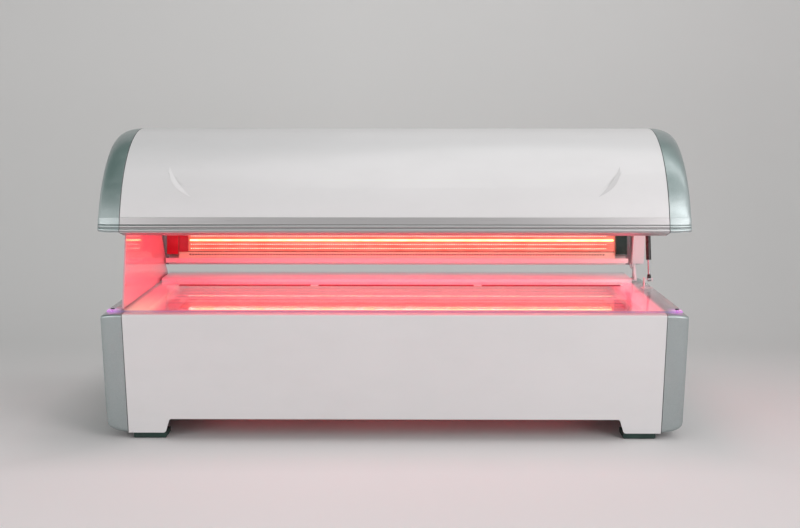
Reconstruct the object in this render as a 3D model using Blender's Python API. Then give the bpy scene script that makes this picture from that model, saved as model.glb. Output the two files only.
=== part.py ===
# Clamshell light therapy bed: a hinged barrel canopy over a flat acrylic bench.
# +X runs along the bed, -Y is the front, +Z is up, the origin is on the floor under the middle.
import math

import bmesh
import bpy
from mathutils import Matrix, Vector

for old in list(bpy.data.objects):
    bpy.data.objects.remove(old, do_unlink=True)

# Overall sizes, in metres and degrees.
LENGTH = 2.22
DEPTH = 1.016
DECK = 0.495
FOOT_HEIGHT = 0.022
UNDERCUT = 0.060
ARCH_RISE = 0.463
REST_TILT = 14.0

# Clearances.
GAP = 0.0003
SEAM_GAP = 0.0006
PASS_GAP = 0.0015
BOARD_GAP = 0.002
PIN_PLAY = 0.0004
ROD_PLAY = 0.0004
OPEN_PIVOT_PLAY = 0.0063

# Inside an end cap, outward from its seam: shield, hinge plate, gas spring, room.
SHIELD_STAND = 0.0087
SHIELD_SHEET = 0.006
SHIELD_CLEAR = 0.007
PLATE_SHEET = 0.006
EMBED = PLATE_SHEET / 3
SPRING_STAND = 0.024
CAP_ROOM = 0.030

# Base skins.
SHEET = 0.004
EDGE_RADIUS = 0.009
HEM_RADIUS = 0.020
DECK_SHEET = 0.012
DECK_RETURN = 0.038
REAR_RECESS = 0.003
LEG_WIDTH = 0.163
TOE_HEIGHT = 0.078
TOE_FLARE = 0.025
TOE_CORNER = 0.010
LEG_CORNER = 0.012
BASE_TOP_CROWN = 0.011
BASE_SIDE_CROWN = 0.014
BASE_HEM_CROWN = 0.034

# Feet and frame.
FOOT_WIDTH = 0.125
FOOT_LENGTH = 0.092
FOOT_CHAMFER = 0.004
FOOT_SHIFT = 0.040
POST = 0.034
RAIL = 0.030
TIE = 0.026
POST_CLEAR = 0.007
FRONT_POST_INSET = 0.050
REAR_POST_INSET = 0.061
LOW_RAIL = 0.107
RAIL_DROP = 0.012
TIE_X = 0.34
PAN_SHEET = 0.002

# Bench: deck opening, tray, light boards, acrylic sheet and its screws.
BENCH_END = 0.162
BENCH_FRONT_DECK = 0.113
TRAY_DEPTH = 0.068
TRAY_SHEET = 0.002
TRAY_TAPER = 0.011
TRAY_FLANGE = 0.012
BENCH_PANELS = 4
BOARD_SHEET = 0.005
COVER_WIDTH = 0.030
COVER_HEIGHT = 0.027
COVER_LIP = 0.013
ACRYLIC_SHEET = 0.008
ACRYLIC_END = 0.018
ACRYLIC_FRONT_DECK = 0.043
ACRYLIC_LAP = 0.012
ACRYLIC_EDGE = 0.002
SCREW_END = 0.034
SCREW_INSET = 0.030
SCREW_RADIUS = 0.0025
SCREW_HEAD_RADIUS = 0.0075
SCREW_HEAD = 0.004

# Rear ledge and end shield.
LEDGE_DEPTH = 0.238
LEDGE_HEIGHT = 0.024
LEDGE_RADIUS = 0.010
LEDGE_SHEET = 0.003
LEDGE_GAP = 0.008
SHIELD_FRONT = 0.083
SHIELD_LEAN = 0.095
SHIELD_SLANT = 162.0
SHIELD_HEIGHT = 0.335
SHIELD_CORNER = 0.028
SHIELD_TOP_SETBACK = 0.220
SHIELD_FOOT_LENGTH = 0.330
SHIELD_FOOT_WIDTH = 0.022

# Hinge and gas springs.
HINGE_SETBACK = 0.088
HINGE_LIFT = 0.065
PIN_RADIUS = 0.008
PIN_HEAD = 0.0035
EYE_WALL = 0.0076
LUG_FRONT = 0.046
LUG_REAR = 0.017
LUG_WIDTH = 0.010
LUG_ARC = (5.0, 160.0)
LUG_FOOT = 0.006
SPRING_FOOT_SETBACK = 0.270
SPRING_FOOT_LIFT = 0.040
SPRING_HEAD_SETBACK = 0.180
SPRING_HEAD_LIFT = 0.365
STUD_RADIUS = 0.004
STUD_EYE_WALL = 0.0041
STUD_EYE_WIDTH = 0.012
ROD_RADIUS = 0.005
ROD_SHOWN = 0.085
ROD_REACH = 0.150
TUBE_WALL = 0.0056
TUBE_NECK = 0.025
TUBE_NECK_RADIUS = 0.0045
TUBE_END_WALL = 0.009
MOUNT_LENGTH = 0.048
MOUNT_REACH = 0.016
MOUNT_SHEET = 0.0045
NOTCH_CLEAR = 0.008

# Power supply, fans, mains inlet and switch.
DRIVER_LENGTH = 0.30
DRIVER_DEPTH = 0.11
DRIVER_HEIGHT = 0.055
DRIVER_INSET = 0.19
FAN_X = 0.45
FAN_DROP = 0.205
FAN_BORE = 0.055
FAN_WALL = 0.005
FAN_DEPTH = 0.038
FAN_HUB = 0.0185
FAN_BLADES = 7
FAN_TIP_GAP = 0.003
FAN_TWIST = 0.42
BLADE_ROOT = 14
BLADE_TIP = 39
BLADE_FOOT = 3
ROTOR_DEPTH = 0.026
ROTOR_START = 0.0085
SLOT_PITCH = 0.012
SLOT_WIDTH = 0.006
INLET_END = 0.31
INLET_Z = 0.19
INLET_WIDTH = 0.048
INLET_HEIGHT = 0.032
INLET_DEPTH = 0.034
SWITCH_SPACING = 0.085
SWITCH_WIDTH = 0.028
SWITCH_DEPTH = 0.024
BEZEL_EDGE = 0.006
BEZEL_SHEET = 0.0024
SOCKET_WALL_X = 0.008
SOCKET_WALL_Z = 0.0055
SOCKET_FLOOR = 0.012
CONTACT_SPACING = 0.008
CONTACT_SHEET = 0.002
CONTACT_HEIGHT = 0.006
ROCKER_WALL_X = 0.0037
ROCKER_WALL_Z = 0.0045
ROCKER_SINK = 0.004

# Canopy, laid out closed with a level rim and then tilted about the hinge to rest.
RIM_LIFT = 0.014
SKIRT = 0.030
FRONT_OVERHANG = 0.029
REAR_OVERHANG = 0.026
SHELL_WALL = 0.007
CANOPY_SIDE_CROWN = 0.012
CANOPY_TOP_CROWN = 0.038
CANOPY_RIM_CROWN = 0.008
TRIM_HEIGHT = 0.057
TRIM_WALL = 0.010
FLANGE = 0.078
REAR_DROP = 0.010
END_LIP = 0.008
BEAD_ROOT = 0.002
LOW_BEAD = 0.0068
HIGH_BEAD = 0.0060
BEAD_STEP = 0.0015
BAND_STAND = 0.0015
GRIP_END = 0.277
GRIP_ANGLE = 22.0
GRIP_WALL = 0.002
GRIP_LEAN = 14.0
GRIP_SLANT = 43.8
GRIP_RADIUS = 0.130
RIB_WIDTH = 0.050
RIB_DEPTH = 0.0555
REFLECTOR_INSET = 0.040
REFLECTOR_SHEET = 0.002
INNER_ACRYLIC_INSET = 0.069
INNER_ACRYLIC_SHEET = 0.004
CANOPY_PANELS = 5
BOARDS_PER_PANEL = 3
BOARD_END_LEFT = 0.0436
BOARD_END_RIGHT = 0.002
BOARD_RIM_REAR = 0.041
BOARD_RIM_FRONT = 0.068
ARM_INSET = 0.022
ARM_WIDTH = 0.075
ARM_TOP = 118.0
ARM_FOOT = 172.0
ARM_NECK = 166.0
ARM_FORK = 150.0
ARM_CROOK = 158.0
ARM_STEPS = 10
EYE_ARC = (15.0, -165.0)
STUD_LOBE = 0.018
LOBE_ARC = (260.0, 100.0)
COVER_REACH = 0.022
COVER_LIFT = 0.004
COVER_SHEET = 0.003
COVER_CLEAR = 0.008
PILLAR_RADIUS = 0.009
PILLAR_INSET = 0.036
PILLAR_ANGLES = (130.0, 147.0, 164.0)

# How finely round shapes are cut.
ARCH_STEPS = 48
CROWN_STEPS = 6
BEAD_STEPS = 5
BEAD_ARC = (270.0, 90.0)
BOARD_FINE = 40
SIDES_NUT = 6
SIDES_SMALL = 16
SIDES_PLAIN = 20
SIDES_MAIN = 24
SIDES_FINE = 28
SIDES_BORE = 32
SIDES_GRIP = 72
CORNER_STEPS = 5

CAP_WIDTH = SHIELD_STAND + SHIELD_SHEET + SHIELD_CLEAR + PLATE_SHEET + SPRING_STAND + CAP_ROOM
HALF = LENGTH / 2
FRONT = -DEPTH / 2
REAR = DEPTH / 2
SEAM = HALF - CAP_WIDTH
PANEL_END = SEAM - SEAM_GAP
PANEL_IN = REAR - REAR_RECESS - SHEET
HEM = FOOT_HEIGHT + GAP
SKIRT_SLOPE = UNDERCUT / (DECK - HEM)

SHIELD_IN = SEAM + SHIELD_STAND
SHIELD_OUT = SHIELD_IN + SHIELD_SHEET
PLATE_IN = SHIELD_OUT + SHIELD_CLEAR
PLATE_OUT = PLATE_IN + PLATE_SHEET
SPRING_X = PLATE_OUT + SPRING_STAND

HINGE_Y = REAR - HINGE_SETBACK
HINGE_Z = DECK + HINGE_LIFT
HINGE = Vector((0.0, HINGE_Y, HINGE_Z))
RIM = HINGE_Z + RIM_LIFT
ARCH_Z = RIM + SKIRT
CANOPY_FRONT = FRONT - FRONT_OVERHANG
CANOPY_REAR = HINGE_Y + REAR_OVERHANG
ARCH_Y = (CANOPY_FRONT + CANOPY_REAR) / 2
ARCH_REACH = (CANOPY_REAR - CANOPY_FRONT) / 2
SHELL_FOOT = RIM + TRIM_HEIGHT + GAP

HERE = Matrix.Identity(4)
TILT = (
    Matrix.Translation(HINGE)
    @ Matrix.Rotation(-math.radians(REST_TILT), 4, "X")
    @ Matrix.Translation(-HINGE)
)
SIDES = (("left", Matrix.Scale(-1.0, 4, (1.0, 0.0, 0.0))), ("right", HERE))

FINISHES = {
    "white": ((0.80, 0.80, 0.79), 0.0, 0.32),
    "silver": ((0.42, 0.46, 0.46), 0.7, 0.38),
    "aluminium": ((0.60, 0.61, 0.60), 1.0, 0.32),
    "mirror": ((0.86, 0.86, 0.87), 1.0, 0.08),
    "steel": ((0.62, 0.62, 0.63), 1.0, 0.25),
    "black": ((0.02, 0.02, 0.022), 0.0, 0.45),
    "rubber": ((0.03, 0.035, 0.033), 0.0, 0.7),
    "board": ((0.55, 0.10, 0.08), 0.0, 0.5),
    "clear": ((0.93, 0.90, 0.93), 0.0, 0.05),
    "grey": ((0.45, 0.46, 0.47), 0.3, 0.45),
}
CLEAR_ALPHA = 0.35
SHARP_ANGLE = math.radians(32.0)
FLAT = 1e-6


def finish(name, kind):
    colour, metallic, roughness = FINISHES[kind]
    made = bpy.data.materials.new(name + "_finish")
    made.use_nodes = True
    shader = made.node_tree.nodes["Principled BSDF"]
    shader.inputs["Base Color"].default_value = (*colour, 1.0)
    shader.inputs["Metallic"].default_value = metallic
    shader.inputs["Roughness"].default_value = roughness
    if kind == "clear":
        shader.inputs["Alpha"].default_value = CLEAR_ALPHA
    return made


# Shapes.
def block(x0, x1, y0, y1, z0, z1):
    made = bmesh.new()
    bmesh.ops.create_cube(made, size=1.0)
    bmesh.ops.scale(made, vec=(x1 - x0, y1 - y0, z1 - z0), verts=made.verts)
    bmesh.ops.translate(made, vec=((x0 + x1) / 2, (y0 + y1) / 2, (z0 + z1) / 2), verts=made.verts)
    return made


def bar(start, end, radius, sides=SIDES_MAIN):
    start, end = Vector(start), Vector(end)
    run = end - start
    made = bmesh.new()
    bmesh.ops.create_cone(
        made, cap_ends=True, segments=sides, radius1=radius, radius2=radius, depth=run.length
    )
    turn = run.to_track_quat("Z", "Y").to_matrix().to_4x4()
    bmesh.ops.transform(made, matrix=Matrix.Translation((start + end) / 2) @ turn, verts=made.verts)
    return made


def bar_x(x0, x1, spot, radius, sides=SIDES_MAIN):
    return bar((x0, *spot), (x1, *spot), radius, sides)


def extruded(outline, run):
    made = bmesh.new()
    face = made.faces.new([made.verts.new(point) for point in outline])
    grown = bmesh.ops.extrude_face_region(made, geom=[face])["geom"]
    far = [item for item in grown if isinstance(item, bmesh.types.BMVert)]
    bmesh.ops.translate(made, vec=run, verts=far)
    return made


def prism(profile, x0, x1):
    return extruded([(x0, y, z) for y, z in profile], (x1 - x0, 0.0, 0.0))


def along_y(profile, y0, y1):
    return extruded([(x, y0, z) for x, z in profile], (0.0, y1 - y0, 0.0))


def loft(loops):
    made = bmesh.new()
    rings = [[made.verts.new(point) for point in loop] for loop in loops]
    made.faces.new(rings[0])
    made.faces.new(rings[-1])
    for low, high in zip(rings, rings[1:]):
        for k in range(len(low)):
            made.faces.new((low[k - 1], low[k], high[k], high[k - 1]))
    return made


def solid(name, shape, place, pivot):
    work = shape.copy()
    bmesh.ops.transform(work, matrix=Matrix.Translation(-Vector(pivot)) @ place, verts=work.verts)
    work.normal_update()
    bent = []
    for face in work.faces:
        corner = face.verts[0].co
        if max(abs((vert.co - corner).dot(face.normal)) for vert in face.verts) > FLAT:
            bent.append(face)
    bmesh.ops.triangulate(work, faces=bent)
    bmesh.ops.recalc_face_normals(work, faces=work.faces)
    mesh = bpy.data.meshes.new(name)
    work.to_mesh(mesh)
    work.free()
    mesh.shade_smooth()
    mesh.set_sharp_from_angle(angle=SHARP_ANGLE)
    made = bpy.data.objects.new(name, mesh)
    made.location = pivot
    return made


def combine(target, label, operation, shapes, place):
    group = bpy.data.collections.new(f"{target.name}_{label}")
    bpy.context.scene.collection.children.link(group)
    for k, shape in enumerate(shapes):
        helper = solid(f"{target.name}_{label}_{k}", shape, place, (0.0, 0.0, 0.0))
        helper.hide_render = True
        helper.display_type = "WIRE"
        group.objects.link(helper)
    change = target.modifiers.new(label, "BOOLEAN")
    change.operation = operation
    change.operand_type = "COLLECTION"
    change.collection = group
    change.solver = "EXACT"


def part(name, shape, kind, place=HERE, pivot=(0.0, 0.0, 0.0), add=(), cut=(), then_add=()):
    made = solid(name, shape, place, pivot)
    bpy.context.scene.collection.objects.link(made)
    made.data.materials.append(finish(name, kind))
    stages = (("add", "UNION", add), ("cut", "DIFFERENCE", cut), ("then_add", "UNION", then_add))
    for label, operation, shapes in stages:
        if shapes:
            combine(made, label, operation, shapes, place)
    return made


# Outlines, as (y, z) points.
def arc(centre, radius, start, end, steps=CORNER_STEPS):
    turns = [math.radians(start + (end - start) * k / steps) for k in range(steps + 1)]
    return [(centre[0] + radius * math.cos(t), centre[1] + radius * math.sin(t)) for t in turns]


def fillet(before, corner, after, radius):
    """The arc that rounds one corner of an outline."""
    corner = Vector(corner)
    back = (Vector(before) - corner).normalized()
    ahead = (Vector(after) - corner).normalized()
    half = back.angle(ahead) / 2
    centre = corner + (back + ahead).normalized() * (radius / math.sin(half))
    start = corner + back * (radius / math.tan(half)) - centre
    end = corner + ahead * (radius / math.tan(half)) - centre
    first = math.degrees(math.atan2(start.y, start.x))
    sweep = (math.degrees(math.atan2(end.y, end.x)) - first + 180.0) % 360.0 - 180.0
    return arc(centre, radius, first, first + sweep)


def rounded(corners, radii):
    """An outline with each corner turned into an arc."""
    outline = []
    for k, radius in enumerate(radii):
        outline += fillet(corners[k - 1], corners[k], corners[(k + 1) % len(corners)], radius)
    return outline


def thick_line(points, wall):
    """A closed outline: the line and its copy moved by the wall to the left of its run."""
    copy = []
    for k, point in enumerate(points):
        here = Vector(point)
        runs = []
        if k:
            runs.append((here - Vector(points[k - 1])).normalized())
        if k < len(points) - 1:
            runs.append((Vector(points[k + 1]) - here).normalized())
        normals = [Vector((-run.y, run.x)) for run in runs]
        mean = sum(normals, Vector((0.0, 0.0))).normalized()
        copy.append(tuple(here + mean * (wall / mean.dot(normals[0]))))
    return list(points) + copy[::-1]


def on_arch(inset, angle):
    """A spot on the barrel, from 0 degrees at its front over to 180 at its rear."""
    t = math.radians(angle)
    return ARCH_Y - (ARCH_REACH - inset) * math.cos(t), ARCH_Z + (ARCH_RISE - inset) * math.sin(t)


def arch_angle(inset, height):
    return math.degrees(math.asin((height - ARCH_Z) / (ARCH_RISE - inset)))


def arch_line(inset, front_z, rear_z):
    """A run over the barrel from its front edge to its rear edge, with straight skirts below its centre."""
    first = arch_angle(inset, max(front_z, ARCH_Z))
    last = 180.0 - arch_angle(inset, max(rear_z, ARCH_Z))
    line = [on_arch(inset, first + (last - first) * k / ARCH_STEPS) for k in range(ARCH_STEPS + 1)]
    if front_z < ARCH_Z:
        line.insert(0, (line[0][0], front_z))
    if rear_z < ARCH_Z:
        line.append((line[-1][0], rear_z))
    return line


def arch_band(inset, wall, front_z, rear_z):
    return arch_line(inset, front_z, rear_z) + arch_line(inset + wall, front_z, rear_z)[::-1]


def crowned(width, loop, wall, lead):
    """A moulded end: its loop draws in along a quarter round as it runs out from the seam."""
    loops = [loop(SEAM - lead, 0.0, wall)] if lead else []
    for k in range(CROWN_STEPS + 1):
        turn = math.pi / 2 * k / CROWN_STEPS
        loops.append(loop(SEAM + width * math.sin(turn), 1.0 - math.cos(turn), wall))
    return loft(loops)


# Base: feet and frame.
TRAY_FLOOR = DECK - TRAY_DEPTH
BENCH_HALF = HALF - BENCH_END
POST_X = BENCH_HALF + TRAY_FLANGE + POST_CLEAR + POST / 2
POST_TOP = DECK - DECK_SHEET - GAP
FRONT_POST = FRONT + UNDERCUT + FRONT_POST_INSET
REAR_POST = REAR - REAR_POST_INSET
HIGH_RAIL = TRAY_FLOOR - TRAY_SHEET - RAIL_DROP - RAIL / 2
PAN_TOP = LOW_RAIL + RAIL / 2 + GAP + PAN_SHEET


def foot(x, y):
    rings = []
    for z, inset in ((0.0, FOOT_CHAMFER), (FOOT_CHAMFER, 0.0), (FOOT_HEIGHT, 0.0)):
        dx, dy = FOOT_WIDTH / 2 - inset, FOOT_LENGTH / 2 - inset
        rings.append([(x - dx, y - dy, z), (x + dx, y - dy, z), (x + dx, y + dy, z), (x - dx, y + dy, z)])
    return loft(rings)


def long_rail(y, z):
    return block(-POST_X, POST_X, y - RAIL / 2, y + RAIL / 2, z - RAIL / 2, z + RAIL / 2)


def cross_tie(x, z):
    return block(x - TIE / 2, x + TIE / 2, FRONT_POST, REAR_POST, z - TIE / 2, z + TIE / 2)


def post(x, y):
    return block(x - POST / 2, x + POST / 2, y - POST / 2, y + POST / 2, HEM, POST_TOP)


for place, y in (("front", FRONT_POST), ("rear", REAR_POST)):
    for side, flip in SIDES:
        part(f"foot_{place}_{side}", foot(POST_X - FOOT_SHIFT, y), "rubber", flip)

part(
    "base_frame",
    long_rail(FRONT_POST, LOW_RAIL),
    "steel",
    add=[long_rail(REAR_POST, LOW_RAIL), long_rail(FRONT_POST, HIGH_RAIL), long_rail(REAR_POST, HIGH_RAIL)]
    + [post(x, y) for x in (-POST_X, POST_X) for y in (FRONT_POST, REAR_POST)]
    + [cross_tie(x, LOW_RAIL) for x in (-POST_X, -TIE_X, TIE_X, POST_X)]
    + [cross_tie(x, HIGH_RAIL) for x in (-POST_X, POST_X)],
)
PAN_HALF = POST_X - POST / 2 - POST_CLEAR
part(
    "base_floor_pan",
    block(-PAN_HALF, PAN_HALF, FRONT_POST - RAIL / 2, REAR_POST + RAIL / 2, PAN_TOP - PAN_SHEET, PAN_TOP),
    "grey",
)

# Base: skins. The toe recess runs through the front and rear panels alike.
TOE_HALF = SEAM - LEG_WIDTH
toe_foot = (TOE_HALF + TOE_FLARE * (1.0 - HEM / TOE_HEIGHT), HEM)
toe_side = (toe_foot[0] + 2 * LEG_CORNER, HEM)
toe_top = (TOE_HALF, TOE_HEIGHT)
toe = [(toe_side[0], 0.0), (toe_side[0], HEM - SHEET)]
toe += fillet(toe_side, toe_foot, toe_top, LEG_CORNER)
toe += fillet(toe_foot, toe_top, (-TOE_HALF, TOE_HEIGHT), TOE_CORNER)
toe += [(-x, z) for x, z in reversed(toe)]
skin = [(FRONT + DECK_RETURN, DECK)]
skin += arc((FRONT + EDGE_RADIUS, DECK - EDGE_RADIUS), EDGE_RADIUS, 90.0, 180.0)
skin += [(FRONT + UNDERCUT, HEM)]
part(
    "base_front_panel",
    prism(thick_line(skin, SHEET), -PANEL_END, PANEL_END),
    "white",
    cut=[along_y(toe, FRONT - SHEET, FRONT + UNDERCUT + 2 * SHEET)],
)

FAN_Z = DECK - FAN_DROP
INLET_X = INLET_END - HALF
SWITCH_X = INLET_X + SWITCH_SPACING


def rear_cut(x, z, width, height):
    y0, y1 = PANEL_IN - SHEET, REAR + SHEET
    return block(x - width / 2, x + width / 2, y0, y1, z - height / 2, z + height / 2)


rear_cuts = [along_y(toe, PANEL_IN - SHEET, REAR + SHEET)]
slots_aside = int((FAN_BORE - SLOT_PITCH / 2) / SLOT_PITCH)
for fan in (-FAN_X, FAN_X):
    for n in range(-slots_aside, slots_aside + 1):
        chord = 2 * math.sqrt(FAN_BORE**2 - (n * SLOT_PITCH) ** 2)
        rear_cuts.append(rear_cut(fan + n * SLOT_PITCH, FAN_Z, SLOT_WIDTH, chord - SLOT_WIDTH))
for x, width in ((INLET_X, INLET_WIDTH), (SWITCH_X, SWITCH_WIDTH)):
    rear_cuts.append(rear_cut(x, INLET_Z, width + 2 * GAP, INLET_HEIGHT + 2 * GAP))
part(
    "base_rear_panel",
    block(-PANEL_END, PANEL_END, PANEL_IN, PANEL_IN + SHEET, HEM, DECK),
    "white",
    cut=rear_cuts,
)


def base_loop(x, crown, wall):
    top = DECK - BASE_TOP_CROWN * crown - wall
    bottom = HEM + BASE_HEM_CROWN * crown + wall
    rear = REAR - BASE_SIDE_CROWN * crown - wall
    front_low, front_high = (
        FRONT + SKIRT_SLOPE * (DECK - z) + BASE_SIDE_CROWN * crown + wall for z in (bottom, top)
    )
    corners = [(front_low, bottom), (front_high, top), (rear, top), (rear, bottom)]
    return [(x, y, z) for y, z in rounded(corners, (HEM_RADIUS, EDGE_RADIUS, EDGE_RADIUS, HEM_RADIUS))]


base_cap = crowned(CAP_WIDTH, base_loop, 0.0, 0.0)
base_cap_hollow = crowned(CAP_WIDTH - SHEET, base_loop, SHEET, CAP_WIDTH)
for side, flip in SIDES:
    part("base_end_cap_" + side, base_cap, "silver", flip, cut=[base_cap_hollow])

# Bench: deck ring, tray, light boards, acrylic sheet.
LEDGE_FRONT = REAR - LEDGE_DEPTH
ACRYLIC_FRONT = FRONT + ACRYLIC_FRONT_DECK
ACRYLIC_REAR = LEDGE_FRONT - LEDGE_GAP
ACRYLIC_HALF = HALF - ACRYLIC_END
ACRYLIC_TOP = DECK + GAP + ACRYLIC_SHEET
BENCH_FRONT = FRONT + BENCH_FRONT_DECK
BENCH_REAR = ACRYLIC_REAR - ACRYLIC_LAP
TRAY_LIP = DECK - DECK_SHEET - GAP
TRAY_MARGIN = TRAY_TAPER + TRAY_SHEET + BOARD_GAP

part(
    "deck_surround",
    block(-PANEL_END, PANEL_END, FRONT + DECK_RETURN + GAP, PANEL_IN - GAP, DECK - DECK_SHEET, DECK),
    "white",
    cut=[block(-BENCH_HALF, BENCH_HALF, BENCH_FRONT, BENCH_REAR, DECK - 2 * DECK_SHEET, DECK + DECK_SHEET)],
)


def tray_ring(grow, z):
    x, y0, y1 = BENCH_HALF + grow, BENCH_FRONT - grow, BENCH_REAR + grow
    return [(-x, y0, z), (x, y0, z), (x, y1, z), (-x, y1, z)]


part(
    "bench_reflector",
    loft(
        [
            tray_ring(-TRAY_TAPER - TRAY_SHEET / 2, TRAY_FLOOR),
            tray_ring(-TRAY_SHEET / 2, TRAY_LIP),
            tray_ring(TRAY_FLANGE, TRAY_LIP),
            tray_ring(TRAY_FLANGE, TRAY_LIP - TRAY_SHEET),
            tray_ring(TRAY_SHEET / 2, TRAY_LIP - TRAY_SHEET),
            tray_ring(-TRAY_TAPER + TRAY_SHEET / 2, TRAY_FLOOR - TRAY_SHEET),
        ]
    ),
    "mirror",
)

COVER_OUT = BENCH_HALF - TRAY_TAPER - TRAY_SHEET
COVER_IN = COVER_OUT - COVER_WIDTH
BENCH_BOARD_HALF = COVER_IN - BOARD_GAP
BOARD_LOW = TRAY_FLOOR + GAP
bench_start = BENCH_FRONT + TRAY_MARGIN
bench_pitch = (BENCH_REAR - TRAY_MARGIN - bench_start) / BENCH_PANELS
for n in range(BENCH_PANELS):
    y0 = bench_start + bench_pitch * n + BOARD_GAP / 2
    y1 = y0 + bench_pitch - BOARD_GAP
    board = block(-BENCH_BOARD_HALF, BENCH_BOARD_HALF, y0, y1, BOARD_LOW, BOARD_LOW + BOARD_SHEET)
    part(f"bench_led_panel_{n + 1}", board, "board")

cover = [
    (COVER_IN, BOARD_LOW),
    (COVER_OUT, BOARD_LOW),
    (COVER_OUT, BOARD_LOW + COVER_HEIGHT),
    (COVER_OUT - COVER_WIDTH / 2, BOARD_LOW + COVER_HEIGHT),
    (COVER_IN, BOARD_LOW + COVER_LIP),
]
for side, flip in SIDES:
    part(
        "bench_end_cover_" + side,
        along_y(cover, BENCH_FRONT + TRAY_MARGIN, BENCH_REAR - TRAY_MARGIN),
        "white",
        flip,
    )

SPRING_FOOT = Vector((HINGE_Y - SPRING_FOOT_SETBACK, DECK + SPRING_FOOT_LIFT))
NOTCH_IN = PLATE_IN - NOTCH_CLEAR
NOTCH_HALF = MOUNT_LENGTH / 2 + NOTCH_CLEAR
SCREW_X = HALF - SCREW_END
SCREWS = {"front": ACRYLIC_FRONT + SCREW_INSET, "rear": ACRYLIC_REAR - SCREW_INSET}
sheet_corners = [
    (ACRYLIC_FRONT, DECK + GAP),
    (ACRYLIC_FRONT, ACRYLIC_TOP),
    (ACRYLIC_REAR, ACRYLIC_TOP),
    (ACRYLIC_REAR, DECK + GAP),
]
below, above = DECK - ACRYLIC_SHEET, ACRYLIC_TOP + ACRYLIC_SHEET
sheet_cuts = []
for sign in (-1.0, 1.0):
    notch_middle = sign * (NOTCH_IN + HALF) / 2
    notch_reach = (HALF - NOTCH_IN) / 2
    x0, x1 = notch_middle - notch_reach, notch_middle + notch_reach
    y0, y1 = SPRING_FOOT.x - NOTCH_HALF, SPRING_FOOT.x + NOTCH_HALF
    sheet_cuts.append(block(x0, x1, y0, y1, below, above))
    for y in SCREWS.values():
        x = sign * SCREW_X
        sheet_cuts.append(bar((x, y, below), (x, y, above), SCREW_RADIUS + PIN_PLAY, SIDES_SMALL))
part(
    "bench_acrylic",
    prism(rounded(sheet_corners, [ACRYLIC_EDGE] * 4), -ACRYLIC_HALF, ACRYLIC_HALF),
    "clear",
    cut=sheet_cuts,
)
for place, y in SCREWS.items():
    seat, top = ACRYLIC_TOP + GAP, ACRYLIC_TOP + SCREW_HEAD
    head = bar((SCREW_X, y, seat), (SCREW_X, y, top), SCREW_HEAD_RADIUS, SIDES_PLAIN)
    shank = bar((SCREW_X, y, DECK + GAP), (SCREW_X, y, (seat + top) / 2), SCREW_RADIUS, SIDES_SMALL)
    for side, flip in SIDES:
        part(f"sheet_screw_{place}_{side}", head, "black", flip, add=[shank])

# Rear ledge: a folded cover that stands on the deck behind the bench.
LEDGE_REAR = PANEL_IN - PASS_GAP
LEDGE_TOP = DECK + LEDGE_HEIGHT
ledge = [(LEDGE_FRONT, DECK + GAP)]
ledge += arc((LEDGE_FRONT + LEDGE_RADIUS, LEDGE_TOP - LEDGE_RADIUS), LEDGE_RADIUS, 180.0, 90.0)
ledge += arc((LEDGE_REAR - LEDGE_RADIUS, LEDGE_TOP - LEDGE_RADIUS), LEDGE_RADIUS, 90.0, 0.0)
ledge += [(LEDGE_REAR, DECK + GAP)]
part("rear_ledge", prism(thick_line(ledge, -LEDGE_SHEET), -PANEL_END, PANEL_END), "white")

# End shield: one upright sheet at the left end, which clears the canopy's pillars as it opens and closes.
SHIELD_SOLE = ACRYLIC_TOP + GAP
SHIELD_TOP = DECK + SHIELD_HEIGHT
shield_front = FRONT + SHIELD_FRONT
corner_spot = (shield_front + SHIELD_LEAN + SHIELD_CORNER, SHIELD_TOP - SHIELD_CORNER)
shield = [(shield_front, SHIELD_SOLE)]
shield += arc(corner_spot, SHIELD_CORNER, SHIELD_SLANT, 90.0)
shield += [
    (HINGE_Y - SHIELD_TOP_SETBACK, SHIELD_TOP),
    (HINGE_Y - LUG_FRONT, DECK + SHIELD_HEIGHT / 2),
    (HINGE_Y, HINGE_Z + SHIELD_CORNER),
    (HINGE_Y, HINGE_Z),
    (HINGE_Y + LUG_FRONT, LEDGE_TOP),
    (HINGE_Y + LUG_FRONT, SHIELD_SOLE),
]
shield_foot = block(
    SHIELD_OUT - SHIELD_SHEET / 2,
    SHIELD_OUT + SHIELD_FOOT_WIDTH,
    shield_front + SHIELD_SHEET,
    shield_front + SHIELD_SHEET + SHIELD_FOOT_LENGTH,
    SHIELD_SOLE,
    SHIELD_SOLE + SHEET,
)
part("end_shield", prism(shield, SHIELD_IN, SHIELD_OUT), "white", SIDES[0][1], add=[shield_foot])

# Hinge brackets: a lug on a foot, with the pin and the head that keeps the hinge plate on it.
EYE_RADIUS = PIN_RADIUS + PIN_PLAY + EYE_WALL
LUG_IN = PLATE_OUT + PASS_GAP
LUG_OUT = LUG_IN + LUG_WIDTH
lug = [(HINGE_Y - LUG_FRONT, DECK + GAP), (HINGE_Y + LUG_REAR, DECK + GAP)]
lug += [(HINGE_Y + LUG_REAR, HINGE_Z - LUG_REAR)]
lug += arc((HINGE_Y, HINGE_Z), PIN_RADIUS + LUG_FOOT, *LUG_ARC, ARM_STEPS)
lug += [(HINGE_Y - LUG_FRONT, DECK + 2 * LUG_FOOT)]
lug_y0, lug_y1 = HINGE_Y - LUG_FRONT, HINGE_Y + LUG_REAR
bracket_foot = block(SHIELD_IN, LUG_OUT, lug_y0, lug_y1, DECK + GAP, DECK + LUG_FOOT)
hinge_spot = (HINGE_Y, HINGE_Z)
pin = bar_x(PLATE_IN - PASS_GAP - PIN_HEAD, LUG_IN + LUG_WIDTH / 2, hinge_spot, PIN_RADIUS, SIDES_FINE)
pin_head = bar_x(SHIELD_OUT + PASS_GAP, PLATE_IN - PASS_GAP, hinge_spot, PIN_RADIUS + PIN_HEAD, SIDES_FINE)
bracket_adds = [bracket_foot, pin, pin_head]
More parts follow.
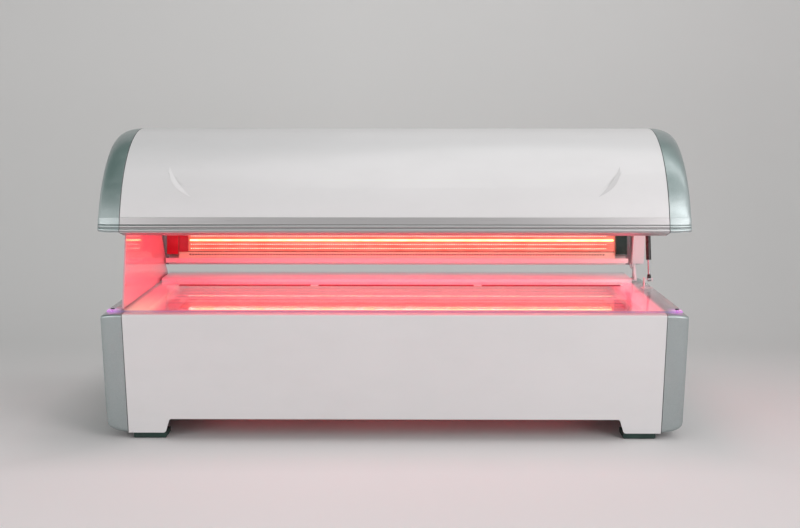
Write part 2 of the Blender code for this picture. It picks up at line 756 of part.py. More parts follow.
for side, flip in SIDES:
    part("hinge_bracket_" + side, prism(lug, LUG_IN, LUG_OUT), "white", flip, add=bracket_adds)

# Lower gas spring mounts: a folded foot with a stud and its nut.
EYE_IN = SPRING_X - STUD_EYE_WIDTH / 2
EYE_OUT = SPRING_X + STUD_EYE_WIDTH / 2
MOUNT_OUT = SPRING_X + MOUNT_REACH
WALL_OUT = LUG_IN + MOUNT_SHEET
foot_y, foot_z = SPRING_FOOT
base_y0, base_y1 = foot_y - MOUNT_LENGTH / 2, foot_y + MOUNT_LENGTH / 2
wall_y0, wall_y1 = foot_y - MOUNT_LENGTH / 4, foot_y + MOUNT_LENGTH / 4
wall_top = foot_z + 2 * STUD_RADIUS
mount_base = block(PLATE_IN, MOUNT_OUT, base_y0, base_y1, DECK + GAP, DECK + MOUNT_SHEET)
mount_wall = block(LUG_IN, WALL_OUT, wall_y0, wall_y1, DECK + MOUNT_SHEET / 2, wall_top)
mount_stud = bar_x(LUG_IN + MOUNT_SHEET / 2, MOUNT_OUT, SPRING_FOOT, STUD_RADIUS, SIDES_PLAIN)
mount_nut = bar_x(EYE_OUT + PASS_GAP, MOUNT_OUT - PASS_GAP, SPRING_FOOT, 2 * STUD_RADIUS, SIDES_NUT)
for side, flip in SIDES:
    part("spring_mount_" + side, mount_base, "black", flip, add=[mount_wall, mount_stud, mount_nut])

# Power supply boxes on the floor pan.
DRIVER_OUT = POST_X - DRIVER_INSET
driver = block(
    DRIVER_OUT - DRIVER_LENGTH,
    DRIVER_OUT,
    -DRIVER_DEPTH / 2,
    DRIVER_DEPTH / 2,
    PAN_TOP + GAP,
    PAN_TOP + DRIVER_HEIGHT,
)
for side, flip in SIDES:
    part("led_driver_" + side, driver, "grey", flip)

# Fans behind the slotted rear panel: a square housing with a strutted motor seat, and a bladed rotor.
FAN_OUT = PANEL_IN - GAP
FAN_IN = FAN_OUT - FAN_DEPTH
FAN_HALF = FAN_BORE + FAN_WALL
STRUT = FAN_WALL / 2
strut_reach = FAN_BORE + FAN_WALL / 2
fan_body = block(FAN_X - FAN_HALF, FAN_X + FAN_HALF, FAN_IN, FAN_OUT, FAN_Z - FAN_HALF, FAN_Z + FAN_HALF)
fan_bore = bar((FAN_X, FAN_IN - SHEET, FAN_Z), (FAN_X, FAN_OUT + SHEET, FAN_Z), FAN_BORE, SIDES_BORE)
motor_end = FAN_IN + ROTOR_START - GAP
motor_seat = bar((FAN_X, FAN_IN + GAP, FAN_Z), (FAN_X, motor_end, FAN_Z), FAN_HUB, SIDES_PLAIN)
struts = []
for dx, dz in ((strut_reach, STRUT), (STRUT, strut_reach)):
    struts.append(block(FAN_X - dx, FAN_X + dx, FAN_IN + 2 * GAP, FAN_IN + FAN_WALL, FAN_Z - dz, FAN_Z + dz))


def rotor_loop(y, twist):
    """Blades around a hub, each wide at its root and narrow at its tip."""
    blade_turn = 2 * math.pi / FAN_BLADES
    root, tip = blade_turn / BLADE_ROOT, blade_turn / BLADE_TIP
    loop = []
    for n in range(FAN_BLADES):
        middle = blade_turn * n + twist
        corners = [(FAN_HUB, -blade_turn / BLADE_FOOT), (FAN_HUB, -root)]
        corners += [(FAN_BORE - FAN_TIP_GAP, -tip), (FAN_BORE - FAN_TIP_GAP, tip), (FAN_HUB, root)]
        for reach, turn in corners:
            across, up = math.cos(middle + turn), math.sin(middle + turn)
            loop.append((FAN_X + reach * across, y, FAN_Z + reach * up))
    return loop


rotor_steps = 4
rotor_start = FAN_IN + ROTOR_START
rotor = loft(
    [
        rotor_loop(rotor_start + ROTOR_DEPTH * k / rotor_steps, FAN_TWIST * (k / rotor_steps - 0.5))
        for k in range(rotor_steps + 1)
    ]
)
rotor_middle = Vector((FAN_X, rotor_start + ROTOR_DEPTH / 2, FAN_Z))
for side, flip in SIDES:
    part("fan_housing_" + side, fan_body, "black", flip, cut=[fan_bore], then_add=struts + [motor_seat])
    part("fan_rotor_" + side, rotor, "black", flip, flip @ rotor_middle)

# Mains inlet and rocker switch, set in the rear panel.
FACE = PANEL_IN + SHEET + GAP


def panel_box(x, width, height, y0, y1):
    return block(x - width / 2, x + width / 2, y0, y1, INLET_Z - height / 2, INLET_Z + height / 2)


def bezel(x, width):
    return panel_box(x, width + 2 * BEZEL_EDGE, INLET_HEIGHT + 2 * BEZEL_EDGE, FACE, FACE + BEZEL_SHEET)


SOCKET_BACK = FACE - INLET_DEPTH + SOCKET_FLOOR
contacts = []
for n in (-1, 0, 1):
    x = INLET_X + n * CONTACT_SPACING
    contacts.append(panel_box(x, CONTACT_SHEET, CONTACT_HEIGHT, SOCKET_BACK - CONTACT_SHEET, FACE - SHEET))
part(
    "mains_inlet",
    bezel(INLET_X, INLET_WIDTH),
    "black",
    add=[panel_box(INLET_X, INLET_WIDTH, INLET_HEIGHT, FACE - INLET_DEPTH, FACE + BEZEL_SHEET / 2)],
    cut=[
        panel_box(
            INLET_X,
            INLET_WIDTH - 2 * SOCKET_WALL_X,
            INLET_HEIGHT - 2 * SOCKET_WALL_Z,
            SOCKET_BACK,
            FACE + SHEET,
        )
    ],
    then_add=contacts,
)

ROCKER_Y = FACE - ROCKER_SINK
rocker_width = SWITCH_WIDTH - 2 * ROCKER_WALL_X
rocker_half = INLET_HEIGHT / 2 - ROCKER_WALL_Z
part(
    "switch_bezel",
    bezel(SWITCH_X, SWITCH_WIDTH),
    "black",
    add=[panel_box(SWITCH_X, SWITCH_WIDTH, INLET_HEIGHT, FACE - SWITCH_DEPTH, FACE + BEZEL_SHEET / 2)],
    cut=[
        panel_box(
            SWITCH_X,
            rocker_width + PASS_GAP,
            2 * (rocker_half + PASS_GAP),
            FACE - SWITCH_DEPTH + SOCKET_FLOOR / 2,
            FACE + SHEET,
        )
    ],
)
rocker_face = ROCKER_Y + ROCKER_SINK + GAP
rocker = [
    (ROCKER_Y - 2 * ROCKER_SINK, INLET_Z - rocker_half / 2),
    (rocker_face - ROCKER_SINK / 2, INLET_Z - rocker_half),
    (rocker_face, INLET_Z - rocker_half),
    (rocker_face - PASS_GAP, INLET_Z),
    (rocker_face, INLET_Z + rocker_half),
    (rocker_face - ROCKER_SINK / 2, INLET_Z + rocker_half),
    (ROCKER_Y - 2 * ROCKER_SINK, INLET_Z + rocker_half / 2),
]
part(
    "switch_rocker",
    prism(rocker, SWITCH_X - rocker_width / 2, SWITCH_X + rocker_width / 2),
    "black",
    pivot=(SWITCH_X, ROCKER_Y, INLET_Z),
)


# Canopy: barrel shell with two crescent grips, each scooped by a slanted cylinder.
def grip():
    turn, lean, slant = (math.radians(angle) for angle in (GRIP_ANGLE, GRIP_LEAN, GRIP_SLANT))
    up = Vector((0.0, ARCH_REACH * math.sin(turn), ARCH_RISE * math.cos(turn))).normalized()
    out = Vector((0.0, -up.z, up.y))
    away = Vector((math.cos(slant), 0.0, 0.0)) - up * math.sin(slant)
    floor = out * math.cos(lean) + away * math.sin(lean)
    rise = out * math.sin(lean) - away * math.cos(lean)
    middle = Vector((HALF - GRIP_END, *on_arch(SHELL_WALL - GRIP_WALL, GRIP_ANGLE)))
    centre = middle + rise * GRIP_RADIUS
    return bar(centre, centre + floor * GRIP_RADIUS, GRIP_RADIUS, SIDES_GRIP)


grips = [grip(), grip()]
bmesh.ops.transform(grips[1], matrix=SIDES[0][1], verts=grips[1].verts)
part(
    "canopy_shell",
    prism(arch_band(0.0, SHELL_WALL, SHELL_FOOT, ARCH_Z), -PANEL_END, PANEL_END),
    "white",
    TILT,
    HINGE,
    cut=grips,
)


# Canopy: front trim extrusion and rear rail. The end caps carry the same beads.
def beads():
    """The trim's face up from the rim, as (y, z) steps from its lower front corner."""
    line = [(BEAD_ROOT, 0.0)]
    height = BEAD_STEP
    for radius in (LOW_BEAD, HIGH_BEAD):
        line += arc((BEAD_ROOT, height + radius), radius, *BEAD_ARC, BEAD_STEPS)
        height += 2 * radius + BEAD_STEP
    return line + [(-BAND_STAND, height), (-BAND_STAND, TRIM_HEIGHT)]


BEADS = beads()
trim = [(CANOPY_FRONT + dy, RIM + dz) for dy, dz in BEADS]
trim += [
    (CANOPY_FRONT + TRIM_WALL, RIM + TRIM_HEIGHT),
    (CANOPY_FRONT + TRIM_WALL, RIM + TRIM_WALL),
    (CANOPY_FRONT + FLANGE, RIM + TRIM_WALL),
    (CANOPY_FRONT + FLANGE, RIM),
]
part("canopy_front_trim", prism(trim, -PANEL_END, PANEL_END), "aluminium", TILT, HINGE)
REAR_RIM = RIM - REAR_DROP
rail = [
    (CANOPY_REAR, ARCH_Z - GAP),
    (CANOPY_REAR, REAR_RIM + SHEET),
    (CANOPY_REAR - SHEET, REAR_RIM),
    (CANOPY_REAR - TRIM_WALL, REAR_RIM),
    (CANOPY_REAR - TRIM_WALL, RIM),
    (CANOPY_REAR - FLANGE + SHEET, RIM),
    (CANOPY_REAR - FLANGE + SHEET, REAR_RIM),
    (CANOPY_REAR - FLANGE, REAR_RIM),
    (CANOPY_REAR - FLANGE, RIM + TRIM_WALL),
    (CANOPY_REAR - TRIM_WALL, RIM + TRIM_WALL),
    (CANOPY_REAR - TRIM_WALL, ARCH_Z - GAP),
]
part("canopy_rear_rail", prism(rail, -PANEL_END, PANEL_END), "aluminium", TILT, HINGE)


# Canopy: crowned end caps. Each end wall stops at a line that lies level at rest.
def canopy_inset(angle, crown, wall):
    lift = CANOPY_TOP_CROWN - CANOPY_SIDE_CROWN
    return (CANOPY_SIDE_CROWN + lift * math.sin(math.radians(angle))) * crown + wall


def canopy_loop(x, crown, wall):
    side = CANOPY_SIDE_CROWN * crown + wall
    rim = RIM + CANOPY_RIM_CROWN * crown
    squeeze = 1.0 - CANOPY_RIM_CROWN * crown / TRIM_HEIGHT
    loop = [(x, CANOPY_FRONT + dy + side, rim + dz * squeeze) for dy, dz in BEADS]
    first = arch_angle(0.0, SHELL_FOOT)
    for k in range(ARCH_STEPS + 1):
        angle = first + (180.0 - first) * k / ARCH_STEPS
        loop.append((x, *on_arch(canopy_inset(angle, crown, wall), angle)))
    return loop + [(x, CANOPY_REAR - side, rim - REAR_DROP)]


def hollow_loop(x, crown, wall):
    """The cap's hollow, whose plain skirts run out below the rim behind the beads."""
    side = CANOPY_SIDE_CROWN * crown + wall
    front = CANOPY_FRONT + side + BEAD_ROOT
    loop = [(x, front, RIM - SKIRT)]
    for k in range(ARCH_STEPS + 1):
        angle = 180.0 * k / ARCH_STEPS
        y, z = on_arch(canopy_inset(angle, crown, wall), angle)
        loop.append((x, max(y, front), z))
    return loop + [(x, CANOPY_REAR - side, RIM - SKIRT)]


def end_opening():
    """What the end wall leaves open: the hollow under the line that is level at rest, inside a lip."""
    wall = SHEET + END_LIP
    side = CANOPY_SIDE_CROWN + wall
    slope = math.tan(math.radians(REST_TILT))
    outline = [(CANOPY_FRONT + side, RIM - SKIRT), (CANOPY_FRONT + side, RIM + side * slope)]
    for k in range(ARCH_STEPS // 2, ARCH_STEPS + 1):
        angle = 180.0 * k / ARCH_STEPS
        y, z = on_arch(canopy_inset(angle, 1.0, wall), angle)
        if z < RIM + (y - CANOPY_FRONT) * slope:
            outline.append((y, z))
    return prism(outline + [(CANOPY_REAR - side, RIM - SKIRT)], SEAM, HALF + SHEET)


cap = crowned(CAP_WIDTH, canopy_loop, 0.0, 0.0)
hollow = crowned(CAP_WIDTH - SHEET, hollow_loop, SHEET, CAP_WIDTH)
for side, flip in SIDES:
    part("canopy_end_cap_" + side, cap, "silver", flip @ TILT, HINGE, cut=[hollow, end_opening()])

# Canopy: end ribs, reflector, inner acrylic.
RIB_OUT = PANEL_END - PASS_GAP
RIB_IN = RIB_OUT - RIB_WIDTH
INNER_END = RIB_IN - SEAM_GAP
INNER_FOOT = RIM + TRIM_WALL + GAP
rib = arch_band(SHELL_WALL + GAP, RIB_DEPTH, SHELL_FOOT + GAP, ARCH_Z + GAP)
for side, flip in SIDES:
    part("canopy_end_rib_" + side, prism(rib, RIB_IN, RIB_OUT), "mirror", flip @ TILT, HINGE)
for name, kind, inset, wall in (
    ("canopy_reflector", "mirror", REFLECTOR_INSET, REFLECTOR_SHEET),
    ("canopy_acrylic", "clear", INNER_ACRYLIC_INSET, INNER_ACRYLIC_SHEET),
):
    band = arch_band(inset, wall, INNER_FOOT, INNER_FOOT)
    part(name, prism(band, -INNER_END, INNER_END), kind, TILT, HINGE)

# Canopy: light boards, flat strips side by side around the reflector, grouped into panels.
BOARD_INSET = REFLECTOR_INSET + REFLECTOR_SHEET + 2 * GAP
BOARD_LEFT = BOARD_END_LEFT - INNER_END
BOARD_RIGHT = INNER_END - BOARD_END_RIGHT


def board_corners(count):
    """Corners evenly spaced around the reflector, from near the rear rim over to near the front rim."""
    first = 180.0 - arch_angle(BOARD_INSET, RIM + BOARD_RIM_REAR)
    last = arch_angle(BOARD_INSET, RIM + BOARD_RIM_FRONT)
    fine = BOARD_FINE * count
    line = [Vector(on_arch(BOARD_INSET, first + (last - first) * k / fine)) for k in range(fine + 1)]
    total = sum((b - a).length for a, b in zip(line, line[1:]))
    corners = [line[0]]
    passed = 0.0
    for a, b in zip(line, line[1:]):
        passed += (b - a).length
        if passed >= total * len(corners) / count - FLAT:
            corners.append(b)
    return corners


corners = board_corners(CANOPY_PANELS * BOARDS_PER_PANEL)
for n in range(CANOPY_PANELS):
    run = corners[n * BOARDS_PER_PANEL : (n + 1) * BOARDS_PER_PANEL + 1]
    run[0] = run[0] + (run[1] - run[0]).normalized() * BOARD_GAP / 2
    run[-1] = run[-1] + (run[-2] - run[-1]).normalized() * BOARD_GAP / 2
    outline = thick_line([tuple(spot) for spot in run], BOARD_SHEET)
    panel = prism(outline, BOARD_LEFT, BOARD_RIGHT)
    part(f"canopy_led_panel_{n + 1}", panel, "board", TILT, HINGE)

# Canopy: hinge arms on pillars from the ribs, each with a flange over its hinge and a tongue for its spring.
SPRING_HEAD = Vector((HINGE_Y - SPRING_HEAD_SETBACK, DECK + SPRING_HEAD_LIFT))
closed_head = (TILT.inverted() @ Vector((0.0, *SPRING_HEAD)))[1:]
ARM_SWEEP = ARM_FOOT - ARM_TOP
arm = arc(closed_head, STUD_LOBE, *LOBE_ARC, ARM_STEPS)
arm += [on_arch(ARM_INSET, ARM_TOP + ARM_SWEEP * k / ARM_STEPS) for k in range(ARM_STEPS + 1)]
arm += arc((HINGE_Y, HINGE_Z), EYE_RADIUS, *EYE_ARC, ARM_STEPS)
arm += [on_arch(ARM_INSET + ARM_WIDTH, angle) for angle in (ARM_NECK, ARM_CROOK, ARM_FORK)]
cover_line = [(HINGE_Y - COVER_REACH, HINGE_Z + COVER_LIFT)]
cover_line += [on_arch(ARM_INSET + ARM_WIDTH - COVER_SHEET, angle) for angle in (ARM_NECK, ARM_CROOK)]
cover = prism(thick_line(cover_line, -COVER_SHEET), PLATE_IN + PLATE_SHEET / 2, HALF - COVER_CLEAR)
pillars = []
for angle in PILLAR_ANGLES:
    spot = on_arch(PILLAR_INSET, angle)
    pillars.append(bar_x(RIB_OUT + GAP, PLATE_IN + EMBED, spot, PILLAR_RADIUS, SIDES_PLAIN))
head_boss = bar_x(PLATE_OUT - EMBED, EYE_IN - PASS_GAP, closed_head, 2 * STUD_RADIUS, SIDES_PLAIN)
head_stud = bar_x(PLATE_OUT - EMBED / 2, EYE_OUT + PIN_HEAD, closed_head, STUD_RADIUS, SIDES_PLAIN)
bore_ends = (PLATE_IN - PLATE_SHEET, PLATE_OUT + PLATE_SHEET)
hinge_bore = bar_x(*bore_ends, hinge_spot, PIN_RADIUS + PIN_PLAY, SIDES_FINE)
for side, flip in SIDES:
    part(
        "canopy_side_plate_" + side,
        prism(arm, PLATE_IN, PLATE_OUT),
        "white",
        flip @ TILT,
        HINGE,
        add=pillars + [cover, head_boss, head_stud],
        cut=[hinge_bore],
    )

# Gas springs: the rod swings on the base, the tube slides on the rod, the top eye is loose on its stud.
SPRING_LENGTH = (SPRING_HEAD - SPRING_FOOT).length
SPRING_RUN = (SPRING_HEAD - SPRING_FOOT).normalized()
TUBE_RADIUS = ROD_RADIUS + ROD_PLAY + TUBE_WALL
TUBE_END = SPRING_LENGTH - TUBE_NECK
STUD_EYE = STUD_RADIUS + PIN_PLAY + STUD_EYE_WALL
LOOSE_EYE = STUD_RADIUS + OPEN_PIVOT_PLAY


def on_spring(distance):
    return Vector((SPRING_X, *(SPRING_FOOT + SPRING_RUN * distance)))


bore_in, bore_out = EYE_IN - STUD_EYE_WIDTH, EYE_OUT + STUD_EYE_WIDTH
neck_start = on_spring(TUBE_END - TUBE_END_WALL / 2)
tube_bore_end = on_spring(TUBE_END - TUBE_END_WALL)
rod = bar(on_spring(STUD_RADIUS + 2 * PIN_PLAY), on_spring(ROD_SHOWN + ROD_REACH), ROD_RADIUS, SIDES_PLAIN)
rod_eye = bar_x(EYE_IN, EYE_OUT, SPRING_FOOT, STUD_EYE, SIDES_MAIN)
rod_bore = bar_x(bore_in, bore_out, SPRING_FOOT, STUD_RADIUS + PIN_PLAY, SIDES_PLAIN)
tube = bar(on_spring(ROD_SHOWN), on_spring(TUBE_END), TUBE_RADIUS, SIDES_FINE)
tube_bore = bar(on_spring(ROD_SHOWN - TUBE_WALL), tube_bore_end, ROD_RADIUS + ROD_PLAY, SIDES_PLAIN)
neck = bar(neck_start, on_spring(SPRING_LENGTH - LOOSE_EYE), TUBE_NECK_RADIUS, SIDES_SMALL)
loose_eye = bar_x(EYE_IN + GAP, EYE_OUT - GAP, SPRING_HEAD, LOOSE_EYE + STUD_EYE_WALL, SIDES_FINE)
loose_bore = bar_x(bore_in, bore_out, SPRING_HEAD, LOOSE_EYE, SIDES_FINE)
tube_adds = [neck, loose_eye]
tube_cuts = [tube_bore, loose_bore]
for side, flip in SIDES:
    foot_pivot = flip @ on_spring(0.0)
    head_pivot = flip @ on_spring(SPRING_LENGTH)
    part("spring_rod_" + side, rod_eye, "steel", flip, foot_pivot, add=[rod], cut=[rod_bore])
    part("spring_tube_" + side, tube, "black", flip, head_pivot, add=tube_adds, cut=tube_cuts)
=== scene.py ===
# Light therapy bed: lights, seams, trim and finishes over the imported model, then studio and camera.
import math

import bmesh
import bpy
from mathutils import Matrix, Vector


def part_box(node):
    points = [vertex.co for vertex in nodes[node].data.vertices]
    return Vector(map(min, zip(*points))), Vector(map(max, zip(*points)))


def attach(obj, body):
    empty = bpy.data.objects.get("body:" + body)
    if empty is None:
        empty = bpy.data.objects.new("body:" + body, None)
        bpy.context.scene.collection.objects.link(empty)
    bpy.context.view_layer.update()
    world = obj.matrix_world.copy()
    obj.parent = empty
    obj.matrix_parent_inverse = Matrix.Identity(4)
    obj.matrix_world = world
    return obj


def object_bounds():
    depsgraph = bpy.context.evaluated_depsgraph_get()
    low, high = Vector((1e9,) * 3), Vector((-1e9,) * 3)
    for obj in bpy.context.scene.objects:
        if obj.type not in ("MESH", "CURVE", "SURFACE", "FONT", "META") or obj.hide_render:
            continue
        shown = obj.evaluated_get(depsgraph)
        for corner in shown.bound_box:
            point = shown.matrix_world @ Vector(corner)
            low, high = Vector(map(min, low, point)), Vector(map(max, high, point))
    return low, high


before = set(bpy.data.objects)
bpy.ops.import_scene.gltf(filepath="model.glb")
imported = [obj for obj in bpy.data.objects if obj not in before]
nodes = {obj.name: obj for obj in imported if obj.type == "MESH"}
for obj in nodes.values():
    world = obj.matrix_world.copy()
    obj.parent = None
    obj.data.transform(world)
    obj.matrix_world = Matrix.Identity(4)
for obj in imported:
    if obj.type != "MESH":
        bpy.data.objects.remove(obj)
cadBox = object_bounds()
scene = bpy.context.scene
scene.view_settings.view_transform = "Standard"
print("frame loaded with", len(nodes), "nodes")


# node helpers
def setInputs(tree, node, values):  # a value is linked if it comes from another node
    for key, value in values.items():
        if isinstance(value, bpy.types.NodeSocket):
            tree.links.new(value, node.inputs[key])
        else:
            node.inputs[key].default_value = value


def addNode(tree, kind, values=None, **settings):
    made = tree.nodes.new(kind)
    for key, value in settings.items():
        setattr(made, key, value)
    setInputs(tree, made, values or {})
    return made


def blendColour(tree, factor, first, second):
    values = {0: factor, 6: first, 7: second}
    return addNode(tree, "ShaderNodeMix", values, data_type="RGBA").outputs[2]


def spread(tree, value, fromLow, fromHigh, toLow=0.0, toHigh=1.0):  # one range onto another, held at its ends
    values = {"Value": value, "From Min": fromLow, "From Max": fromHigh, "To Min": toLow, "To Max": toHigh}
    return addNode(tree, "ShaderNodeMapRange", values).outputs["Result"]


def sums(tree, operation, first, second):
    return addNode(tree, "ShaderNodeMath", {0: first, 1: second}, operation=operation).outputs[0]


def objectPlace(tree):
    return addNode(tree, "ShaderNodeTexCoord").outputs["Object"]


def stretched(tree, scale):  # object coordinates, stretched along the axes
    values = {"Vector": objectPlace(tree), "Scale": scale}
    return addNode(tree, "ShaderNodeMapping", values).outputs["Vector"]


def noise(tree, place, scale, detail=2.0, roughness=0.5):
    values = {"Vector": place, "Scale": scale, "Detail": detail, "Roughness": roughness}
    return addNode(tree, "ShaderNodeTexNoise", values).outputs["Fac"]


def startGroup(name, inputs, outputs):
    group = bpy.data.node_groups.new(name, "ShaderNodeTree")
    for label, value in inputs.items():
        socket = group.interface.new_socket(label, in_out="INPUT", socket_type="NodeSocketFloat")
        socket.default_value = value
    for label, kind in outputs.items():
        group.interface.new_socket(label, in_out="OUTPUT", socket_type=kind)
    return group, group.nodes.new("NodeGroupInput").outputs, group.nodes.new("NodeGroupOutput").inputs


def placed(tree, group, values):
    made = tree.nodes.new("ShaderNodeGroup")
    made.node_tree = group
    setInputs(tree, made, values)
    return made.outputs


def startFinish(name):
    finish = bpy.data.materials.new(name)
    finish.use_nodes = True
    return finish, finish.node_tree, finish.node_tree.nodes["Principled BSDF"]


def bumped(tree, strength, distance, height, normal=None):
    values = {"Strength": strength, "Distance": distance, "Height": height}
    if normal is not None:
        values["Normal"] = normal
    return addNode(tree, "ShaderNodeBump", values).outputs["Normal"]


# effects that several finishes share
handledSurface, taken, given = startGroup(
    "handledSurface",
    {"Mottle Scale": 3.0, "Grain Scale": 420.0},
    {"Mottle": "NodeSocketFloat", "Smudge": "NodeSocketFloat", "Grain": "NodeSocketFloat"},
)
place = objectPlace(handledSurface)
mottle = noise(handledSurface, place, taken["Mottle Scale"], 4.0, 0.55)
handledSurface.links.new(spread(handledSurface, mottle, 0.32, 0.68), given["Mottle"])
wiped = stretched(handledSurface, (1.0, 2.6, 2.6))
smudgeScale = sums(handledSurface, "MULTIPLY", taken["Mottle Scale"], 2.7)
smudge = noise(handledSurface, wiped, smudgeScale, 6.0, 0.62)
handledSurface.links.new(spread(handledSurface, smudge, 0.45, 0.72), given["Smudge"])
handledSurface.links.new(noise(handledSurface, place, taken["Grain Scale"], 2.0), given["Grain"])

softEdge, taken, given = startGroup(
    "softEdge", {"Radius": 0.0015}, {"Normal": "NodeSocketVector", "Edge": "NodeSocketFloat"}
)
rounding = addNode(softEdge, "ShaderNodeBevel", {"Radius": taken["Radius"]}, samples=4).outputs["Normal"]
facing = addNode(softEdge, "ShaderNodeNewGeometry").outputs["Normal"]
turned = addNode(softEdge, "ShaderNodeVectorMath", {0: rounding, 1: facing}, operation="DOT_PRODUCT")
softEdge.links.new(rounding, given["Normal"])
softEdge.links.new(spread(softEdge, turned.outputs["Value"], 0.97, 0.80), given["Edge"])

drawnLines, taken, given = startGroup(
    "drawnLines", {"Line Scale": 900.0, "Run": 0.004}, {"Lines": "NodeSocketFloat"}
)
runs = addNode(drawnLines, "ShaderNodeCombineXYZ", {0: taken["Run"], 1: 1.0, 2: 1.0}).outputs[0]
lineValues = {0: objectPlace(drawnLines), 1: runs}
lineSpots = addNode(drawnLines, "ShaderNodeVectorMath", lineValues, operation="MULTIPLY")
drawnLines.links.new(noise(drawnLines, lineSpots.outputs[0], taken["Line Scale"], 3.0, 0.6), given["Lines"])

paintFlake, taken, given = startGroup(
    "paintFlake", {"Flake Scale": 1500.0}, {"Flake": "NodeSocketFloat", "Cloud": "NodeSocketFloat"}
)
flakes = addNode(
    paintFlake, "ShaderNodeTexVoronoi", {"Vector": objectPlace(paintFlake), "Scale": taken["Flake Scale"]}
)
shades = addNode(paintFlake, "ShaderNodeSeparateColor", {"Color": flakes.outputs["Color"]})
paintFlake.links.new(shades.outputs[0], given["Flake"])
paintFlake.links.new(noise(paintFlake, objectPlace(paintFlake), 9.0, 4.0), given["Cloud"])
print("shared effects made")


# finishes
def lacquer(name, look):  # sprayed white skins
    finish, tree, shader = startFinish(name)
    marks = placed(tree, handledSurface, {"Mottle Scale": look["mottle"], "Grain Scale": look["peel"]})
    edge = placed(tree, softEdge, {"Radius": look["edge"]})
    colour = blendColour(tree, marks["Mottle"], look["light"], look["shade"])
    colour = blendColour(tree, sums(tree, "MULTIPLY", marks["Smudge"], look["dust"]), colour, look["soil"])
    # painted highlight: edges are lightened towards the near-white rim colour
    colour = blendColour(tree, sums(tree, "MULTIPLY", edge["Edge"], look["rubAndHighlight"]), colour, look["rim"])
    values = {
        "Base Color": colour,
        "Roughness": spread(tree, marks["Smudge"], 0.0, 1.0, look["gloss"], look["gloss"] + look["dull"]),
        "IOR": 1.5,
        "Coat Weight": look["coat"],
        "Coat Roughness": 0.08,
        "Normal": bumped(tree, look["relief"], 0.0004, marks["Grain"], edge["Normal"]),
    }
    setInputs(tree, shader, values)
    return finish


def silverPaint(name, look):  # moulded ends in metallic paint
    finish, tree, shader = startFinish(name)
    flake = placed(tree, paintFlake, {"Flake Scale": look["flake"]})
    marks = placed(tree, handledSurface, {"Mottle Scale": 4.0, "Grain Scale": 600.0})
    edge = placed(tree, softEdge, {"Radius": look["edge"]})
    colour = blendColour(tree, flake["Flake"], look["dark"], look["light"])
    colour = blendColour(tree, sums(tree, "MULTIPLY", flake["Cloud"], look["cloud"]), colour, look["tint"])
    colour = blendColour(tree, sums(tree, "MULTIPLY", edge["Edge"], look["rubAndHighlight"]), colour, look["worn"])
    values = {
        "Base Color": colour,
        "Metallic": look["metal"],
        "Roughness": spread(tree, marks["Smudge"], 0.0, 1.0, look["gloss"], look["gloss"] + look["dull"]),
        "Coat Weight": look["coat"],
        "Coat Roughness": 0.12,
        "Normal": bumped(tree, look["relief"], 0.0003, marks["Grain"], edge["Normal"]),
    }
    setInputs(tree, shader, values)
    return finish


def drawnMetal(name, look):  # extruded, rolled or polished metal with lines along the bed
    finish, tree, shader = startFinish(name)
    lines = placed(tree, drawnLines, {"Line Scale": look["lines"], "Run": look["run"]})
    marks = placed(tree, handledSurface, {"Mottle Scale": 5.0, "Grain Scale": 300.0})
    edge = placed(tree, softEdge, {"Radius": look["edge"]})
    colour = blendColour(tree, lines["Lines"], look["dark"], look["light"])
    colour = blendColour(tree, sums(tree, "MULTIPLY", marks["Smudge"], look["smudge"]), colour, look["dark"])
    rough = spread(tree, lines["Lines"], 0.25, 0.75, look["gloss"], look["gloss"] + look["dull"])
    rough = sums(tree, "ADD", rough, sums(tree, "MULTIPLY", marks["Smudge"], look["haze"]))
    values = {
        "Base Color": colour,
        "Metallic": look["metal"],
        "Roughness": rough,
        "Normal": bumped(tree, look["relief"], 0.0002, lines["Lines"], edge["Normal"]),
    }
    setInputs(tree, shader, values)
    return finish


def darkMoulding(name, look):  # black plastic, black paint and rubber
    finish, tree, shader = startFinish(name)
    marks = placed(tree, handledSurface, {"Mottle Scale": look["mottle"], "Grain Scale": look["grain"]})
    edge = placed(tree, softEdge, {"Radius": look["edge"]})
    colour = blendColour(tree, marks["Mottle"], look["dark"], look["light"])
    colour = blendColour(tree, sums(tree, "MULTIPLY", edge["Edge"], look["rubAndHighlight"]), colour, look["worn"])
    colour = blendColour(tree, sums(tree, "MULTIPLY", marks["Smudge"], look["dust"]), colour, look["worn"])
    values = {
        "Base Color": colour,
        "Roughness": spread(tree, marks["Smudge"], 0.0, 1.0, look["gloss"], look["gloss"] + look["dull"]),
        "Normal": bumped(tree, look["relief"], 0.0006, marks["Grain"], edge["Normal"]),
    }
    setInputs(tree, shader, values)
    return finish


def circuitBoard(name, look):  # pale solder mask with copper runs under it, along the rows
    finish, tree, shader = startFinish(name)
    lines = placed(tree, drawnLines, {"Line Scale": look["runs"], "Run": look["run"]})
    marks = placed(tree, handledSurface, {"Mottle Scale": 14.0, "Grain Scale": 700.0})
    runsMask = spread(tree, lines["Lines"], 0.50, 0.54)
    colour = blendColour(tree, runsMask, look["mask"], look["copper"])
    colour = blendColour(tree, sums(tree, "MULTIPLY", marks["Mottle"], look["heat"]), colour, look["scorch"])
    values = {
        "Base Color": colour,
        "Roughness": spread(tree, marks["Mottle"], 0.0, 1.0, *look["gloss"]),
        "Emission Color": blendColour(tree, marks["Mottle"], look["glow"], look["glowLow"]),
        "Emission Strength": look["power"],
        "Normal": bumped(tree, look["relief"], 0.0003, runsMask),
    }
    setInputs(tree, shader, values)
    return finish


def litLens(name, look):  # diode lenses and lamp strips
    finish, tree, shader = startFinish(name)
    spots = noise(tree, objectPlace(tree), look["spots"], 1.0)
    glow = blendColour(tree, spread(tree, spots, 0.35, 0.65), look["glow"], look["glowLow"])
    values = {
        "Base Color": blendColour(tree, spots, look["body"], look["glow"]),
        "Roughness": look["gloss"],
        "Emission Color": glow,
        "Emission Strength": look["power"],
    }
    setInputs(tree, shader, values)
    return finish


